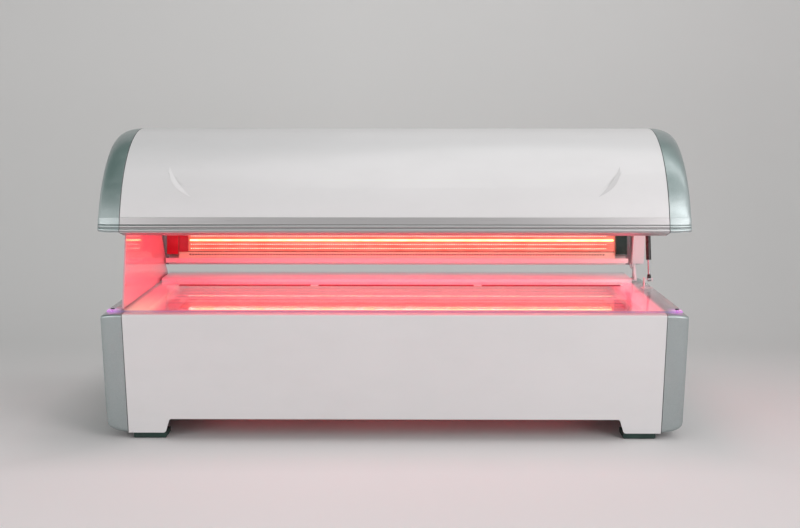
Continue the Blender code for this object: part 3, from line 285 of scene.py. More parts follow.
def clearSheet(name, look):  # acrylic: clear to lamps, a little smudged, with a painted glow standing in for lamp light and reflections over it and at its edges
    finish, tree, shader = startFinish(name)
    marks = placed(tree, handledSurface, {"Mottle Scale": 3.0, "Grain Scale": 40.0})
    spots = addNode(tree, "ShaderNodeSeparateXYZ", {0: objectPlace(tree)}).outputs
    ends = sums(tree, "ABSOLUTE", spots[0], 0.0)
    rim = spread(tree, spots[1], *look["rim"])
    cornerAcross = spread(tree, ends, *look["cornerAcross"])
    cornerDeep = spread(tree, spots[1], *look["cornerDeep"])
    corner = sums(tree, "MULTIPLY", cornerAcross, cornerDeep)
    glow = blendColour(tree, marks["Smudge"], look["bodyGlow"], look["smudgeGlow"])
    left = blendColour(tree, spread(tree, spots[1], *look["leftRun"]), look["leftGlow"], look["leftRear"])
    side = blendColour(tree, spread(tree, spots[0], *look["middle"]), left, look["rightGlow"])
    glow = blendColour(tree, spread(tree, ends, *look["sideStart"]), glow, side)
    glow = blendColour(tree, spread(tree, ends, *look["sideStop"]), glow, look["endGlow"])
    glow = blendColour(tree, rim, glow, look["rimGlow"])
    glow = blendColour(tree, corner, glow, look["cornerGlow"])
    smeared = blendColour(tree, marks["Smudge"], look["clear"], look["veil"])
    values = {
        "Base Color": blendColour(tree, rim, smeared, look["rimTint"]),
        "Roughness": spread(tree, marks["Smudge"], 0.0, 1.0, *look["gloss"]),
        "IOR": 1.49,
        "Transmission Weight": 1.0,
        "Emission Color": glow,
        "Emission Strength": look["power"],
        "Normal": bumped(tree, look["relief"], 0.0004, marks["Mottle"]),
    }
    setInputs(tree, shader, values)
    path = addNode(tree, "ShaderNodeLightPath").outputs
    through = sums(tree, "MAXIMUM", path["Is Shadow Ray"], path["Is Diffuse Ray"])
    through = sums(tree, "MAXIMUM", through, look["thin"])
    paneTint = blendColour(tree, rim, look["clear"], look["rimTint"])
    pane = addNode(tree, "ShaderNodeBsdfTransparent", {"Color": paneTint}).outputs[0]
    mixer = addNode(tree, "ShaderNodeMixShader", {0: through, 1: shader.outputs[0], 2: pane})
    tree.links.new(mixer.outputs[0], tree.nodes["Material Output"].inputs["Surface"])
    return finish


shellLook = {
    "light": (0.835, 0.822, 0.824, 1.0),
    "shade": (0.805, 0.792, 0.794, 1.0),
    "soil": (0.66, 0.65, 0.64, 1.0),
    # rim: a painted edge highlight, near white
    "rim": (0.95, 0.935, 0.94, 1.0),
    "mottle": 1.3,
    "peel": 520.0,
    "relief": 0.06,
    "gloss": 0.30,
    "dull": 0.12,
    "coat": 0.14,
    "dust": 0.10,
    "rubAndHighlight": 0.5,
    "edge": 0.0012,
}
shellWhite = lacquer("shellWhite", shellLook)
plateTint = {"light": (0.75, 0.80, 0.80, 1.0), "shade": (0.72, 0.765, 0.765, 1.0)}
plateWhite = lacquer("plateWhite", {**shellLook, **plateTint, "peel": 900.0, "gloss": 0.36, "coat": 0.1})
# painted light: a lighter, bluer copy of the shell white, tuned to how the lit ledge looks; the sheet's lip
# and clips wear it too
ledgeLitTint = {"light": (0.88, 0.93, 0.955, 1.0), "shade": (0.85, 0.90, 0.925, 1.0)}
ledgeLitWhite = lacquer("ledgeLitWhite", {**shellLook, **ledgeLitTint})
# painted light and shade: a lit copy of the shell white for the left grip and a shaded copy for the right
gripLit = {"light": (0.95, 0.935, 0.938, 1.0), "shade": (0.93, 0.915, 0.918, 1.0), "gloss": 0.22}
gripPaintedLit = lacquer("gripPaintedLit", {**shellLook, **gripLit})
gripDim = {"light": (0.70, 0.69, 0.692, 1.0), "shade": (0.68, 0.67, 0.672, 1.0), "gloss": 0.34}
gripShaded = lacquer("gripShaded", {**shellLook, **gripDim})
shieldLook = {
    "light": (0.86, 0.50, 0.55, 1.0),
    "shade": (0.83, 0.46, 0.51, 1.0),
    "soil": (0.70, 0.41, 0.44, 1.0),
    "relief": 0.004,
    "gloss": 0.045,
    "dull": 0.03,
    "coat": 0.0,
}
shieldPink = lacquer("shieldPink", {**shellLook, **shieldLook})
setInputs(shieldPink.node_tree, shieldPink.node_tree.nodes["Principled BSDF"], {"Specular IOR Level": 0.3})
capLook = {
    "dark": (0.355, 0.398, 0.40, 1.0),
    "light": (0.525, 0.56, 0.565, 1.0),
    "tint": (0.25, 0.375, 0.368, 1.0),
    "worn": (0.75, 0.77, 0.77, 1.0),
    "flake": 1500.0,
    "cloud": 0.25,
    "rubAndHighlight": 0.35,
    "metal": 0.80,
    "gloss": 0.40,
    "dull": 0.10,
    "coat": 0.35,
    "relief": 0.05,
    "edge": 0.0016,
}
capSilver = silverPaint("capSilver", capLook)
trimLook = {
    "dark": (0.43, 0.415, 0.42, 1.0),
    "light": (0.52, 0.50, 0.505, 1.0),
    "lines": 900.0,
    "run": 0.004,
    "smudge": 0.20,
    "metal": 1.0,
    "gloss": 0.26,
    "dull": 0.12,
    "haze": 0.06,
    "relief": 0.10,
    "edge": 0.0006,
}
trimSatin = drawnMetal("trimSatin", trimLook)
sheenLook = {
    **trimLook,
    "dark": (0.86, 0.83, 0.81, 1.0),
    "light": (0.93, 0.90, 0.88, 1.0),
    "lines": 300.0,
    "run": 0.0004,
    "metal": 0.0,
    "gloss": 0.42,
    "dull": 0.08,
    "relief": 0.0,
}
mirrorSheet = drawnMetal("mirrorSheet", {**sheenLook, "run": trimLook["run"], "lines": 500.0, "metal": 0.1})
railSheet = drawnMetal("railSheet", sheenLook)
# painted light: the hood reflector is tinted warm and glows faintly orange, standing in for light bounced
# between the canopy's parts
hoodLit = {"dark": (0.90, 0.80, 0.66, 1.0), "light": (0.94, 0.86, 0.72, 1.0)}
hoodSheet = drawnMetal("hoodSheet", {**sheenLook, **hoodLit})
setInputs(
    hoodSheet.node_tree,
    hoodSheet.node_tree.nodes["Principled BSDF"],
    {"Emission Color": (1.0, 0.42, 0.22, 1.0), "Emission Strength": 0.16},
)
rodLook = {"dark": (0.34, 0.34, 0.35, 1.0), "light": (0.46, 0.46, 0.47, 1.0), "gloss": 0.16, "dull": 0.06}
rodSteel = drawnMetal("rodSteel", {**trimLook, **rodLook, "run": 1.0, "lines": 700.0, "edge": 0.0004})
frameMetal = drawnMetal("frameMetal", {**trimLook, "gloss": 0.38, "metal": 0.9, "lines": 350.0})
tubeLook = {
    "dark": (0.010, 0.011, 0.011, 1.0),
    "light": (0.022, 0.024, 0.024, 1.0),
    "worn": (0.13, 0.13, 0.13, 1.0),
    "mottle": 12.0,
    "grain": 900.0,
    "gloss": 0.26,
    "dull": 0.16,
    "rubAndHighlight": 0.35,
    "dust": 0.04,
    "relief": 0.10,
    "edge": 0.0006,
}
tubeBlackAndHoleShade = darkMoulding("tubeBlackAndHoleShade", tubeLook)
fanBlack = darkMoulding("fanBlack", {**tubeLook, "gloss": 0.42, "relief": 0.3, "grain": 1200.0, "dust": 0.12})
# painted shade: a dark green-black for the right end rib, in the shade at that end of the canopy
ribLook = {
    **tubeLook,
    "dark": (0.005, 0.026, 0.018, 1.0),
    "light": (0.010, 0.044, 0.032, 1.0),
    "gloss": 0.10,
    "rubAndHighlight": 0.1,
    "dust": 0.02,
    "relief": 0.02,
}
ribInShade = darkMoulding("ribInShade", ribLook)
# painted light: the rib material recoloured in the lamps' red light, for the left rib and the wiring covers
ribLit = {
    "dark": (0.42, 0.008, 0.028, 1.0),
    "light": (0.60, 0.014, 0.045, 1.0),
    "worn": (0.62, 0.05, 0.07, 1.0),
}
ribInRedLight = darkMoulding("ribInRedLight", {**ribLook, **ribLit})
footLook = {"dark": (0.005, 0.026, 0.020, 1.0), "light": (0.012, 0.048, 0.036, 1.0), "gloss": 0.62}
footRubber = darkMoulding("footRubber", {**tubeLook, **footLook, "relief": 0.5, "grain": 500.0, "dust": 0.18})
# dark grey for the seam gaskets, and a painted shadow line along the hood boards
gasketAndShadowLook = {"dark": (0.06, 0.065, 0.065, 1.0), "light": (0.10, 0.105, 0.105, 1.0), "gloss": 0.55}
gasketAndShadowGrey = darkMoulding("gasketAndShadowGrey", {**tubeLook, **gasketAndShadowLook})
boardLook = {
    "mask": (0.72, 0.34, 0.28, 1.0),
    "copper": (0.58, 0.20, 0.14, 1.0),
    "scorch": (0.50, 0.16, 0.12, 1.0),
    "glow": (1.0, 0.036, 0.155, 1.0),
    "glowLow": (0.88, 0.028, 0.125, 1.0),
    "runs": 160.0,
    "run": 0.02,
    "heat": 0.35,
    "gloss": (0.34, 0.5),
    "relief": 0.25,
    "power": 1.9,
}
hoodBoard = circuitBoard("hoodBoard", boardLook)
rearGlow = {"glow": (1.0, 0.28, 0.17, 1.0), "glowLow": (0.76, 0.14, 0.07, 1.0), "power": 0.44}
rearBoard = circuitBoard("rearBoard", {**boardLook, **rearGlow})
benchGlow = {"glow": (1.0, 0.15, 0.17, 1.0), "glowLow": (0.9, 0.11, 0.13, 1.0), "power": 0.75}
benchBoard = circuitBoard("benchBoard", {**boardLook, **benchGlow})
lensLook = {
    "glow": (1.0, 0.50, 0.40, 1.0),
    "glowLow": (1.0, 0.40, 0.34, 1.0),
    "body": (0.9, 0.5, 0.4, 1.0),
    "spots": 90.0,
    "gloss": 0.25,
    "power": 3.0,
}
amberLens = litLens("amberLens", {**lensLook, "glow": (1.0, 0.70, 0.46, 1.0), "power": 2.8})
roseLens = litLens("roseLens", {**lensLook, "glow": (1.0, 0.62, 0.52, 1.0), "power": 2.4})
deepLook = {"glow": (1.0, 0.06, 0.15, 1.0), "glowLow": (1.0, 0.04, 0.12, 1.0)}
deepLens = litLens("deepLens", {**lensLook, **deepLook})
pinkLens = litLens("pinkLens", {**lensLook, "glow": (1.0, 0.34, 0.34, 1.0), "power": 1.6})
clampLook = {"dark": (0.10, 0.008, 0.014, 1.0), "light": (0.16, 0.014, 0.022, 1.0), "gloss": 0.40}
clampRed = darkMoulding("clampRed", {**tubeLook, **clampLook, "worn": (0.24, 0.05, 0.06, 1.0)})
# painted shadow: the dark red of the shade line at the rear of the bench opening
shadowLineLook = {
    "dark": (0.34, 0.006, 0.045, 1.0),
    "light": (0.42, 0.010, 0.060, 1.0),
    "worn": (0.45, 0.03, 0.09, 1.0),
    "gloss": 0.5,
    "relief": 0.05,
}
shadowLineRed = darkMoulding("shadowLineRed", {**tubeLook, **shadowLineLook})
stripLook = {"glow": (1.0, 0.80, 0.32, 1.0), "glowLow": (1.0, 0.66, 0.22, 1.0), "spots": 30.0, "power": 3.0}
stripLens = litLens("stripLens", {**lensLook, **stripLook})
# painted reflection: the pale glow of the strip across the bench
paleReflection = litLens("paleReflection", {**lensLook, **stripLook, "glow": (1.0, 0.84, 0.64, 1.0), "power": 4.6})
underLook = {"glow": (1.0, 0.12, 0.14, 1.0), "glowLow": (0.9, 0.09, 0.11, 1.0), "spots": 12.0, "power": 1.5}
underGlow = litLens("underGlow", {**lensLook, **underLook})
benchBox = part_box("bench_acrylic")
# painted light: the sheet's glow colours, lit differently at the left and right ends, along the front rim and
# at the front right corner
sheetLook = {
    "clear": (0.985, 0.975, 0.98, 1.0),
    "veil": (0.95, 0.93, 0.94, 1.0),
    "rim": (benchBox[0][1] + 0.0016, benchBox[0][1] + 0.0004),
    "middle": (-0.1, 0.1),
    "bodyGlow": (0.13, 0.012, 0.024, 1.0),
    "smudgeGlow": (0.16, 0.018, 0.032, 1.0),
    "sideStart": (0.91, 0.93),
    "sideStop": (1.018, 1.034),
    "leftRun": (-0.42, 0.02),
    "leftGlow": (0.17, 0.20, 0.12, 1.0),
    "leftRear": (0.30, 0.035, 0.045, 1.0),
    "rightGlow": (0.50, 0.012, 0.05, 1.0),
    "endGlow": (0.022, 0.010, 0.014, 1.0),
    "rimTint": (0.34, 0.41, 0.52, 1.0),
    "rimGlow": (0.26, 0.18, 0.34, 1.0),
    "cornerAcross": (benchBox[1][0] - 0.056, benchBox[1][0] - 0.021),
    "cornerDeep": (benchBox[0][1] + 0.072, benchBox[0][1] + 0.022),
    "cornerGlow": (0.62, 0.17, 0.66, 1.0),
    "gloss": (0.0, 0.018),
    "relief": 0.002,
    "power": 0.9,
    "thin": 0.48,
}
benchClear = clearSheet("benchClear", sheetLook)
offSheet = (9.0, 9.1)  # past every edge, so the lining has no lit rim, corners or ends
hoodLook = {
    "rim": offSheet,
    "cornerAcross": offSheet,
    "sideStart": offSheet,
    "sideStop": offSheet,
    "power": 0.2,
    "thin": 0.75,
}
hoodClear = clearSheet("hoodClear", {**sheetLook, **hoodLook})
print("finishes made")

sides = ("left", "right")
corners = [f"{place}_{side}" for place in ("front", "rear") for side in sides]
wornBy = (
    (shellWhite, ["canopy_shell", "base_front_panel", "base_rear_panel", "deck_surround"]),
    (ledgeLitWhite, ["rear_ledge"]),
    (shieldPink, ["end_shield"]),
    (plateWhite, [f"{part}_{side}" for part in ("hinge_bracket", "canopy_side_plate") for side in sides]),
    (plateWhite, [f"{part}_{side}" for part in ("bench_end_cover", "spring_mount") for side in sides]),
    (capSilver, [f"{part}_end_cap_{side}" for part in ("base", "canopy") for side in sides]),
    (trimSatin, ["canopy_front_trim"]),
    (railSheet, ["canopy_rear_rail"]),
    (hoodSheet, ["canopy_reflector"]),
    (mirrorSheet, ["bench_reflector"]),
    (ribInRedLight, ["canopy_end_rib_left"]),
    (ribInShade, ["canopy_end_rib_right"]),
    (frameMetal, ["base_frame", "base_floor_pan", "led_driver_left", "led_driver_right"]),
    (rodSteel, ["spring_rod_left", "spring_rod_right"]),
    (tubeBlackAndHoleShade, ["spring_tube_left", "spring_tube_right"]),
    (tubeBlackAndHoleShade, [f"sheet_screw_{corner}" for corner in corners]),
    (fanBlack, [f"{part}_{side}" for part in ("fan_housing", "fan_rotor") for side in sides]),
    (fanBlack, ["mains_inlet", "switch_bezel", "switch_rocker"]),
    (footRubber, [f"foot_{corner}" for corner in corners]),
    (rearBoard, ["canopy_led_panel_1"]),
    (hoodBoard, [f"canopy_led_panel_{n}" for n in range(2, 6)]),
    (benchBoard, [f"bench_led_panel_{n}" for n in range(1, 5)]),
    (benchClear, ["bench_acrylic"]),
    (hoodClear, ["canopy_acrylic"]),
)
for finish, names in wornBy:
    for name in names:
        for part in nodes[name].material_slots:
            part.link = "OBJECT"
            part.material = finish
bare = set(nodes) - {name for finish, names in wornBy for name in names}
print("finishes worn, nodes left bare:", sorted(bare))

# one modifier joins each node's triangles and shades its curves smooth, with creases left sharp
crease = {"join": 0.00001, "angle": math.radians(32.0)}
softShade = bpy.data.node_groups.new("softShade", "GeometryNodeTree")
softShade.interface.new_socket("Geometry", in_out="INPUT", socket_type="NodeSocketGeometry")
softShade.interface.new_socket("Geometry", in_out="OUTPUT", socket_type="NodeSocketGeometry")
loose = softShade.nodes.new("NodeGroupInput").outputs["Geometry"]
merged = {"Geometry": loose, "Distance": crease["join"]}
joined = addNode(softShade, "GeometryNodeMergeByDistance", merged).outputs[0]
smooth = addNode(softShade, "GeometryNodeSetShadeSmooth", {"Geometry": joined}, domain="FACE").outputs[0]
bend = addNode(softShade, "GeometryNodeInputMeshEdgeAngle").outputs["Unsigned Angle"]
turns = {0: bend, 1: crease["angle"]}
sharp = addNode(softShade, "FunctionNodeCompare", turns, operation="GREATER_THAN").outputs[0]
edged = {"Geometry": smooth, "Selection": sharp, "Shade Smooth": False}
creased = addNode(softShade, "GeometryNodeSetShadeSmooth", edged, domain="EDGE").outputs[0]
softShade.links.new(creased, softShade.nodes.new("NodeGroupOutput").inputs["Geometry"])
for part in nodes.values():
    part.modifiers.new("softShade", "NODES").node_group = softShade
    evened = part.modifiers.new("evenNormals", "WEIGHTED_NORMAL")
    evened.keep_sharp = True
print("curves shaded smooth")


# pieces
def addPiece(name, shape, body, slotName, *finishes):
    mesh = bpy.data.meshes.new(name)
    shape.to_mesh(mesh)
    shape.free()
    for finish in finishes:
        mesh.materials.append(finish)
    piece = bpy.data.objects.new(name, mesh)
    scene.collection.objects.link(piece)
    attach(piece, body)
    return piece


def addShape(whole, shape, place):  # a shape's copy goes into a larger one, moved to its place
    held = bpy.data.meshes.new("held")
    shape.to_mesh(held)
    before = len(whole.verts)
    whole.from_mesh(held)
    whole.verts.ensure_lookup_table()
    bmesh.ops.transform(whole, matrix=place, verts=whole.verts[before:])
    bpy.data.meshes.remove(held)


def shapeOf(name):  # a CAD node's mesh, its loose triangles merged
    shape = bmesh.new()
    shape.from_mesh(nodes[name].data)
    bmesh.ops.remove_doubles(shape, verts=shape.verts, dist=crease["join"])
    return shape


def roundedBar(size, bevel, segments=2):
    shape = bmesh.new()
    bmesh.ops.create_cube(shape, size=1.0)
    bmesh.ops.scale(shape, vec=size, verts=shape.verts)
    bmesh.ops.bevel(
        shape, geom=shape.edges[:], offset=bevel, segments=segments, profile=0.5, affect="EDGES", material=-1
    )
    return shape


def repeated(shape, pitch, steps):  # copies in a row along the bed
    bmesh.ops.spin(
        shape,
        geom=shape.verts[:] + shape.edges[:] + shape.faces[:],
        cent=(0.0, 0.0, 0.0),
        axis=(1.0, 0.0, 0.0),
        dvec=(pitch, 0.0, 0.0),
        angle=0.0,
        steps=steps,
        use_duplicate=True,
    )


def cutAway(shape, spot, way):  # all that lies beyond a plane
    everything = shape.verts[:] + shape.edges[:] + shape.faces[:]
    bmesh.ops.bisect_plane(shape, geom=everything, plane_co=spot, plane_no=way, clear_outer=True)


# diodes: domed lenses in rows on each board, a lamp strip in the third row of every other hood board
diodes = {
    "pitch": 0.0098,
    "rowPitch": 0.0185,
    "margin": 0.012,
    "bareEnd": 0.028,
    "lens": 0.0023,
    "crown": 0.0012,
    "height": 0.0022,
    "sides": 6,
    "seat": 0.0001,
    "stripRow": 2,
    "strip": (0.0075, 0.0040),
    "stripBevel": 0.0015,
    "hoodEdges": (-1.0, 1.0),
    "hoodStrip": (0.0030, 0.0012),
    "benchEdges": (-1.0, 0.0, 1.0),
    "benchStrip": (0.0120, 0.0030),
    "edgeBevel": 0.0003,
    "boardArea": 0.05,
    "hoodMiddle": Vector((0.0, -0.021, 0.715)),
    "overBench": Vector((0.0, 0.0, 5.0)),
}


def boardPlaces(name, towards):  # place, length and width of each flat run of a board that faces a spot
    flat = shapeOf(name)
    bmesh.ops.dissolve_limit(flat, angle_limit=math.radians(1.0), verts=flat.verts, edges=flat.edges)
    flat.normal_update()
    places = []
    for face in flat.faces:
        middle = face.calc_center_median()
        if face.calc_area() < diodes["boardArea"] or face.normal.dot(towards - middle) < 0.0:
            continue
        along, out = Vector((1.0, 0.0, 0.0)), face.normal.copy()
        across = out.cross(along)
        turn = Matrix((along, across, out)).transposed().to_4x4()
        spots = [corner.co - middle for corner in face.verts]
        length = 2 * max(spot.dot(along) for spot in spots)
        width = 2 * max(spot.dot(across) for spot in spots)
        places.append((Matrix.Translation(middle) @ turn, length, width))
    flat.free()
    if len(places) > 1 and places[0][0].translation.y < places[-1][0].translation.y:  # rear run first
        places.reverse()
    return places


def diodeRow(length, kind):
    row = bmesh.new()
    bmesh.ops.create_cone(
        row,
        cap_ends=True,
        segments=diodes["sides"],
        radius1=diodes["lens"],
        radius2=diodes["crown"],
        depth=diodes["height"],
    )
    sole = [face for face in row.faces if face.normal.z < -0.9]
    bmesh.ops.delete(row, geom=sole, context="FACES")
    count = int((length - 2 * diodes["margin"]) / diodes["pitch"]) + 1
    start = (-(count - 1) * diodes["pitch"] / 2, 0.0, diodes["height"] / 2 + diodes["seat"])
    bmesh.ops.translate(row, vec=start, verts=row.verts)
    repeated(row, diodes["pitch"], count - 1)
    for face in row.faces:
        face.material_index = kind
        face.smooth = True
    return row


def lightPanel(pieceName, nodeName, body, towards, withStrip, lenses):
    lights, strips = bmesh.new(), bmesh.new()
    onHood = body == "canopy"
    bare = diodes["bareEnd"] if onHood else 0.0
    for n, (place, length, width) in enumerate(boardPlaces(nodeName, towards)):
        rows = int((width - 2 * diodes["margin"]) / diodes["rowPitch"]) + 1
        kinds = [diodeRow(length - bare, kind) for kind in (0, 1)]
        for r in range(rows):
            shift = Matrix.Translation((0.0, (r - (rows - 1) / 2) * diodes["rowPitch"], 0.0))
            if withStrip and n == 0 and r == diodes["stripRow"]:
                wide, high = diodes["strip"]
                bar = roundedBar((length - diodes["margin"], wide, 2 * high), diodes["stripBevel"])
                cutAway(bar, (0.0, 0.0, diodes["seat"]), (0.0, 0.0, -1.0))
                addShape(strips, bar, place @ shift)
                bar.free()
            else:
                addShape(lights, kinds[r % 2], place @ shift @ Matrix.Translation((-bare / 2, 0.0, 0.0)))
        for kind in kinds:
            kind.free()
        wide, high = diodes["hoodStrip" if onHood else "benchStrip"]
        for edge in diodes["hoodEdges" if onHood else "benchEdges"]:  # dark strips along the board edges: they hold the bench boards down, and on the hood they are a painted shadow along each board's edge
            bar = roundedBar((length, wide, high), diodes["edgeBevel"], 1)
            lift = Matrix.Translation((0.0, edge * (width / 2 - wide / 2), high / 2 + diodes["seat"]))
            for face in bar.faces:
                face.material_index = 1
            addShape(strips, bar, place @ lift)
            bar.free()
    addPiece(pieceName + "Diodes", lights, body, "light_board", *lenses)
    addPiece(pieceName + "Strips", strips, body, "light_board", stripLens, gasketAndShadowGrey if onHood else clampRed)


for n in range(1, 6):
    lenses = (amberLens, roseLens) if n == 1 else (deepLens, deepLens)
    lightPanel(f"hoodPanel{n}", f"canopy_led_panel_{n}", "canopy", diodes["hoodMiddle"], n % 2 == 1, lenses)
lenses = (pinkLens, pinkLens)
for n in range(1, 5):
    lightPanel(f"benchPanel{n}", f"bench_led_panel_{n}", "base", diodes["overBench"], False, lenses)
print("diodes and strips set")

# wiring covers: the boards' own section, carried on over the reflector at the left end
covers = {"left": -0.9744, "right": -0.9335}
wiring = bmesh.new()
for n in range(1, 6):
    section = shapeOf(f"canopy_led_panel_{n}")
    low, high = (corner[0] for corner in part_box(f"canopy_led_panel_{n}"))
    scale = (covers["right"] - covers["left"]) / (high - low)
    bmesh.ops.scale(section, vec=(scale, 1.0, 1.0), verts=section.verts)
    bmesh.ops.translate(section, vec=(covers["left"] - low * scale, 0.0, 0.0), verts=section.verts)
    addShape(wiring, section, Matrix.Identity(4))
    section.free()
# painted light: the covers wear the red-lit rib colour
addPiece("wiringCovers", wiring, "canopy", "black_plastic", ribInRedLight)

# one glowing strip across the bench, raised on the boards: a painted reflection of the hood's lamp strip in
# the bench sheet
benchReflection = {"spot": (0.018, -0.053), "size": (1.745, 0.0120, 0.0060), "bevel": 0.0024, "lift": 0.003}
reflectionBar = roundedBar(benchReflection["size"], benchReflection["bevel"], 3)
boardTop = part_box("bench_led_panel_3")[1][2]
reflectionHeight = boardTop + benchReflection["size"][2] / 2 + benchReflection["lift"]
bmesh.ops.translate(reflectionBar, vec=(*benchReflection["spot"], reflectionHeight), verts=reflectionBar.verts)
addPiece("benchReflection", reflectionBar, "base", "light_board", paleReflection)

# the canopy was drawn closed and opened about its hinge
hood = {"hinge": Vector((0.0, 0.420, 0.560)), "open": 14.0}
openHood = (
    Matrix.Translation(hood["hinge"])
    @ Matrix.Rotation(-math.radians(hood["open"]), 4, "X")
    @ Matrix.Translation(-hood["hinge"])
)

# air holes along the reflector under the rear board: dark discs, a painted shade standing in for the holes
airHoles = {"radius": 0.0040, "pitch": 0.0125, "half": 0.925, "spot": (0.4036, 0.6045)}
holes = bmesh.new()
bmesh.ops.create_circle(holes, cap_ends=True, segments=8, radius=airHoles["radius"])
bmesh.ops.rotate(holes, matrix=Matrix.Rotation(math.radians(90.0), 3, "X"), verts=holes.verts)
bmesh.ops.translate(holes, vec=(-airHoles["half"], *airHoles["spot"]), verts=holes.verts)
repeated(holes, airHoles["pitch"], int(2 * airHoles["half"] / airHoles["pitch"]))
bmesh.ops.transform(holes, matrix=openHood, verts=holes.verts)
addPiece("hoodAirHoles", holes, "canopy", "polished_aluminium", tubeBlackAndHoleShade)

# seam gaskets: a thin slice of each skin's end, a hair proud of it
seams = {"width": 0.0022, "inset": 0.0001, "proud": 0.0004}


def seamSlice(pieceName, nodeName, body, middle):
    whole = bmesh.new()
    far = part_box(nodeName)[1][0]
    for sign in (-1.0, 1.0):
        band = shapeOf(nodeName)
        cutAway(band, (sign * (far - seams["width"]), 0.0, 0.0), (-sign, 0.0, 0.0))
        cutAway(band, (sign * (far - seams["inset"]), 0.0, 0.0), (sign, 0.0, 0.0))
        for corner in band.verts:
            away = Vector((0.0, corner.co.y - middle[0], corner.co.z - middle[1])).normalized()
            corner.co += away * seams["proud"]
            corner.co.y = max(corner.co.y, cadBox[0][1])
            corner.co.z = min(corner.co.z, cadBox[1][2])
        bmesh.ops.holes_fill(band, edges=[edge for edge in band.edges if edge.is_boundary], sides=0)
        addShape(whole, band, Matrix.Identity(4))
        band.free()
    bmesh.ops.recalc_face_normals(whole, faces=whole.faces)
    addPiece(pieceName, whole, body, "black_plastic", gasketAndShadowGrey)


seamSlice("hoodSeams", "canopy_shell", "canopy", (-0.021, 0.715))
seamSlice("trimSeams", "canopy_front_trim", "canopy", (-0.021, 0.80))
seamSlice("frontSeams", "base_front_panel", "base", (0.0, 0.25))
print("seams cut")

# rear of the bench sheet: a pale lip runs out from the ledge, with a dark red strip before it, a painted
# shadow line at the rear of the opening, and two clips
sheetRear = {
    "top": benchBox[1][2] + 0.0002,
    "lip": ((-0.955, 0.980), (0.1880, 0.2696), 0.0022),
    "shadowLine": ((-0.932, 0.962), (0.1640, 0.1878), 0.0020),
    "clips": (-0.35, 0.35),
    "clip": (0.034, (0.1625, 0.1900), 0.0026),
    "bevel": 0.0006,
}


def flatStrip(ends, depths, high):
    strip = roundedBar((ends[1] - ends[0], depths[1] - depths[0], high), sheetRear["bevel"])
    spot = (sum(ends) / 2, sum(depths) / 2, sheetRear["top"] + high / 2)
    bmesh.ops.translate(strip, vec=spot, verts=strip.verts)
    return strip


addPiece("sheetLip", flatStrip(*sheetRear["lip"]), "base", "white_panel", ledgeLitWhite)
addPiece("sheetShadowLine", flatStrip(*sheetRear["shadowLine"]), "base", "black_plastic", shadowLineRed)
clipRow = bmesh.new()
for x in sheetRear["clips"]:
    wide, depths, high = sheetRear["clip"]
    clip = flatStrip((x - wide / 2, x + wide / 2), depths, high)
    addShape(clipRow, clip, Matrix.Identity(4))
    clip.free()
addPiece("sheetClips", clipRow, "base", "white_panel", ledgeLitWhite)

# grips: crescents laid round the barrel over the scoops, the left one in a painted lit white and the right
# one in a painted shade, as it is turned from the light
grips = {
    "at": (0.826, 20.6),
    "slant": math.radians(33.5),
    "half": 0.082,
    "bulge": (0.009, 0.028),
    "back": 0.0186,
    "middle": (-0.0455, 0.604),
    "reach": 0.4915,
    "rise": 0.463,
    "proud": 0.0006,
}
pads = bmesh.new()
for sign in (-1.0, 1.0):
    pad = bmesh.new()
    bmesh.ops.create_grid(pad, x_segments=28, y_segments=5, size=1.0)
    turn = math.radians(grips["at"][1])
    run = math.hypot(grips["reach"] * math.sin(turn), grips["rise"] * math.cos(turn))
    for corner in pad.verts:  # the square becomes a crescent, wrapped on the closed barrel
        along = grips["half"] * corner.co.x
        inner, outer = grips["bulge"]
        swell = inner + (outer - inner) * (corner.co.y + 1.0) / 2
        away = swell * (1.0 - corner.co.x**2) - grips["back"]
        across = grips["at"][0] + away * math.cos(grips["slant"]) + along * math.sin(grips["slant"])
        angle = turn + (along * math.cos(grips["slant"]) - away * math.sin(grips["slant"])) / run
        depth = grips["middle"][0] - (grips["reach"] + grips["proud"]) * math.cos(angle)
        height = grips["middle"][1] + (grips["rise"] + grips["proud"]) * math.sin(angle)
        corner.co = (sign * across, depth, height)
    bmesh.ops.remove_doubles(pad, verts=pad.verts, dist=0.00002)
    bmesh.ops.recalc_face_normals(pad, faces=pad.faces)
    if sum(face.normal.y for face in pad.faces) > 0.0:
        bmesh.ops.reverse_faces(pad, faces=pad.faces)
    for face in pad.faces:
        face.smooth = True
        # the right pad takes the painted shade
        face.material_index = int(sign > 0.0)
    addShape(pads, pad, openHood)
    pad.free()
addPiece("gripPads", pads, "canopy", "white_panel", gripPaintedLit, gripShaded)

# sockets on the lower ends of the gas spring rods
sockets = {
    "spot": (1.080, 0.150, 0.535),
    "head": (1.080, 0.240, 0.860),
    "outline": (  # radius, and place along the rod
        (0.0058, 0.004),
        (0.0084, 0.006),
        (0.0084, 0.016),
        (0.007, 0.0185),
        (0.007, 0.0212),
        (0.0058, 0.0226),
    ),
}
for side, sign in (("left", -1.0), ("right", 1.0)):
    foot = Vector((sign * sockets["spot"][0], *sockets["spot"][1:]))
    axis = (Vector((sign * sockets["head"][0], *sockets["head"][1:])) - foot).normalized()
    socket = bmesh.new()
    line = [socket.verts.new((radius, 0.0, along)) for radius, along in sockets["outline"]]
    edges = [socket.edges.new(pair) for pair in zip(line, line[1:])]
    bmesh.ops.spin(
        socket,
        geom=line + edges,
        cent=(0.0, 0.0, 0.0),
        axis=(0.0, 0.0, 1.0),
        angle=math.tau,
        steps=24,
        use_merge=True,
    )
    bmesh.ops.recalc_face_normals(socket, faces=socket.faces)
    for face in socket.faces:
        face.smooth = True
    turn = axis.to_track_quat("Z", "Y").to_matrix().to_4x4()
    bmesh.ops.transform(socket, matrix=Matrix.Translation(foot) @ turn, verts=socket.verts)
    addPiece(f"rodSocket_{side}", socket, f"rod_{side}", "black_metal", tubeBlackAndHoleShade)

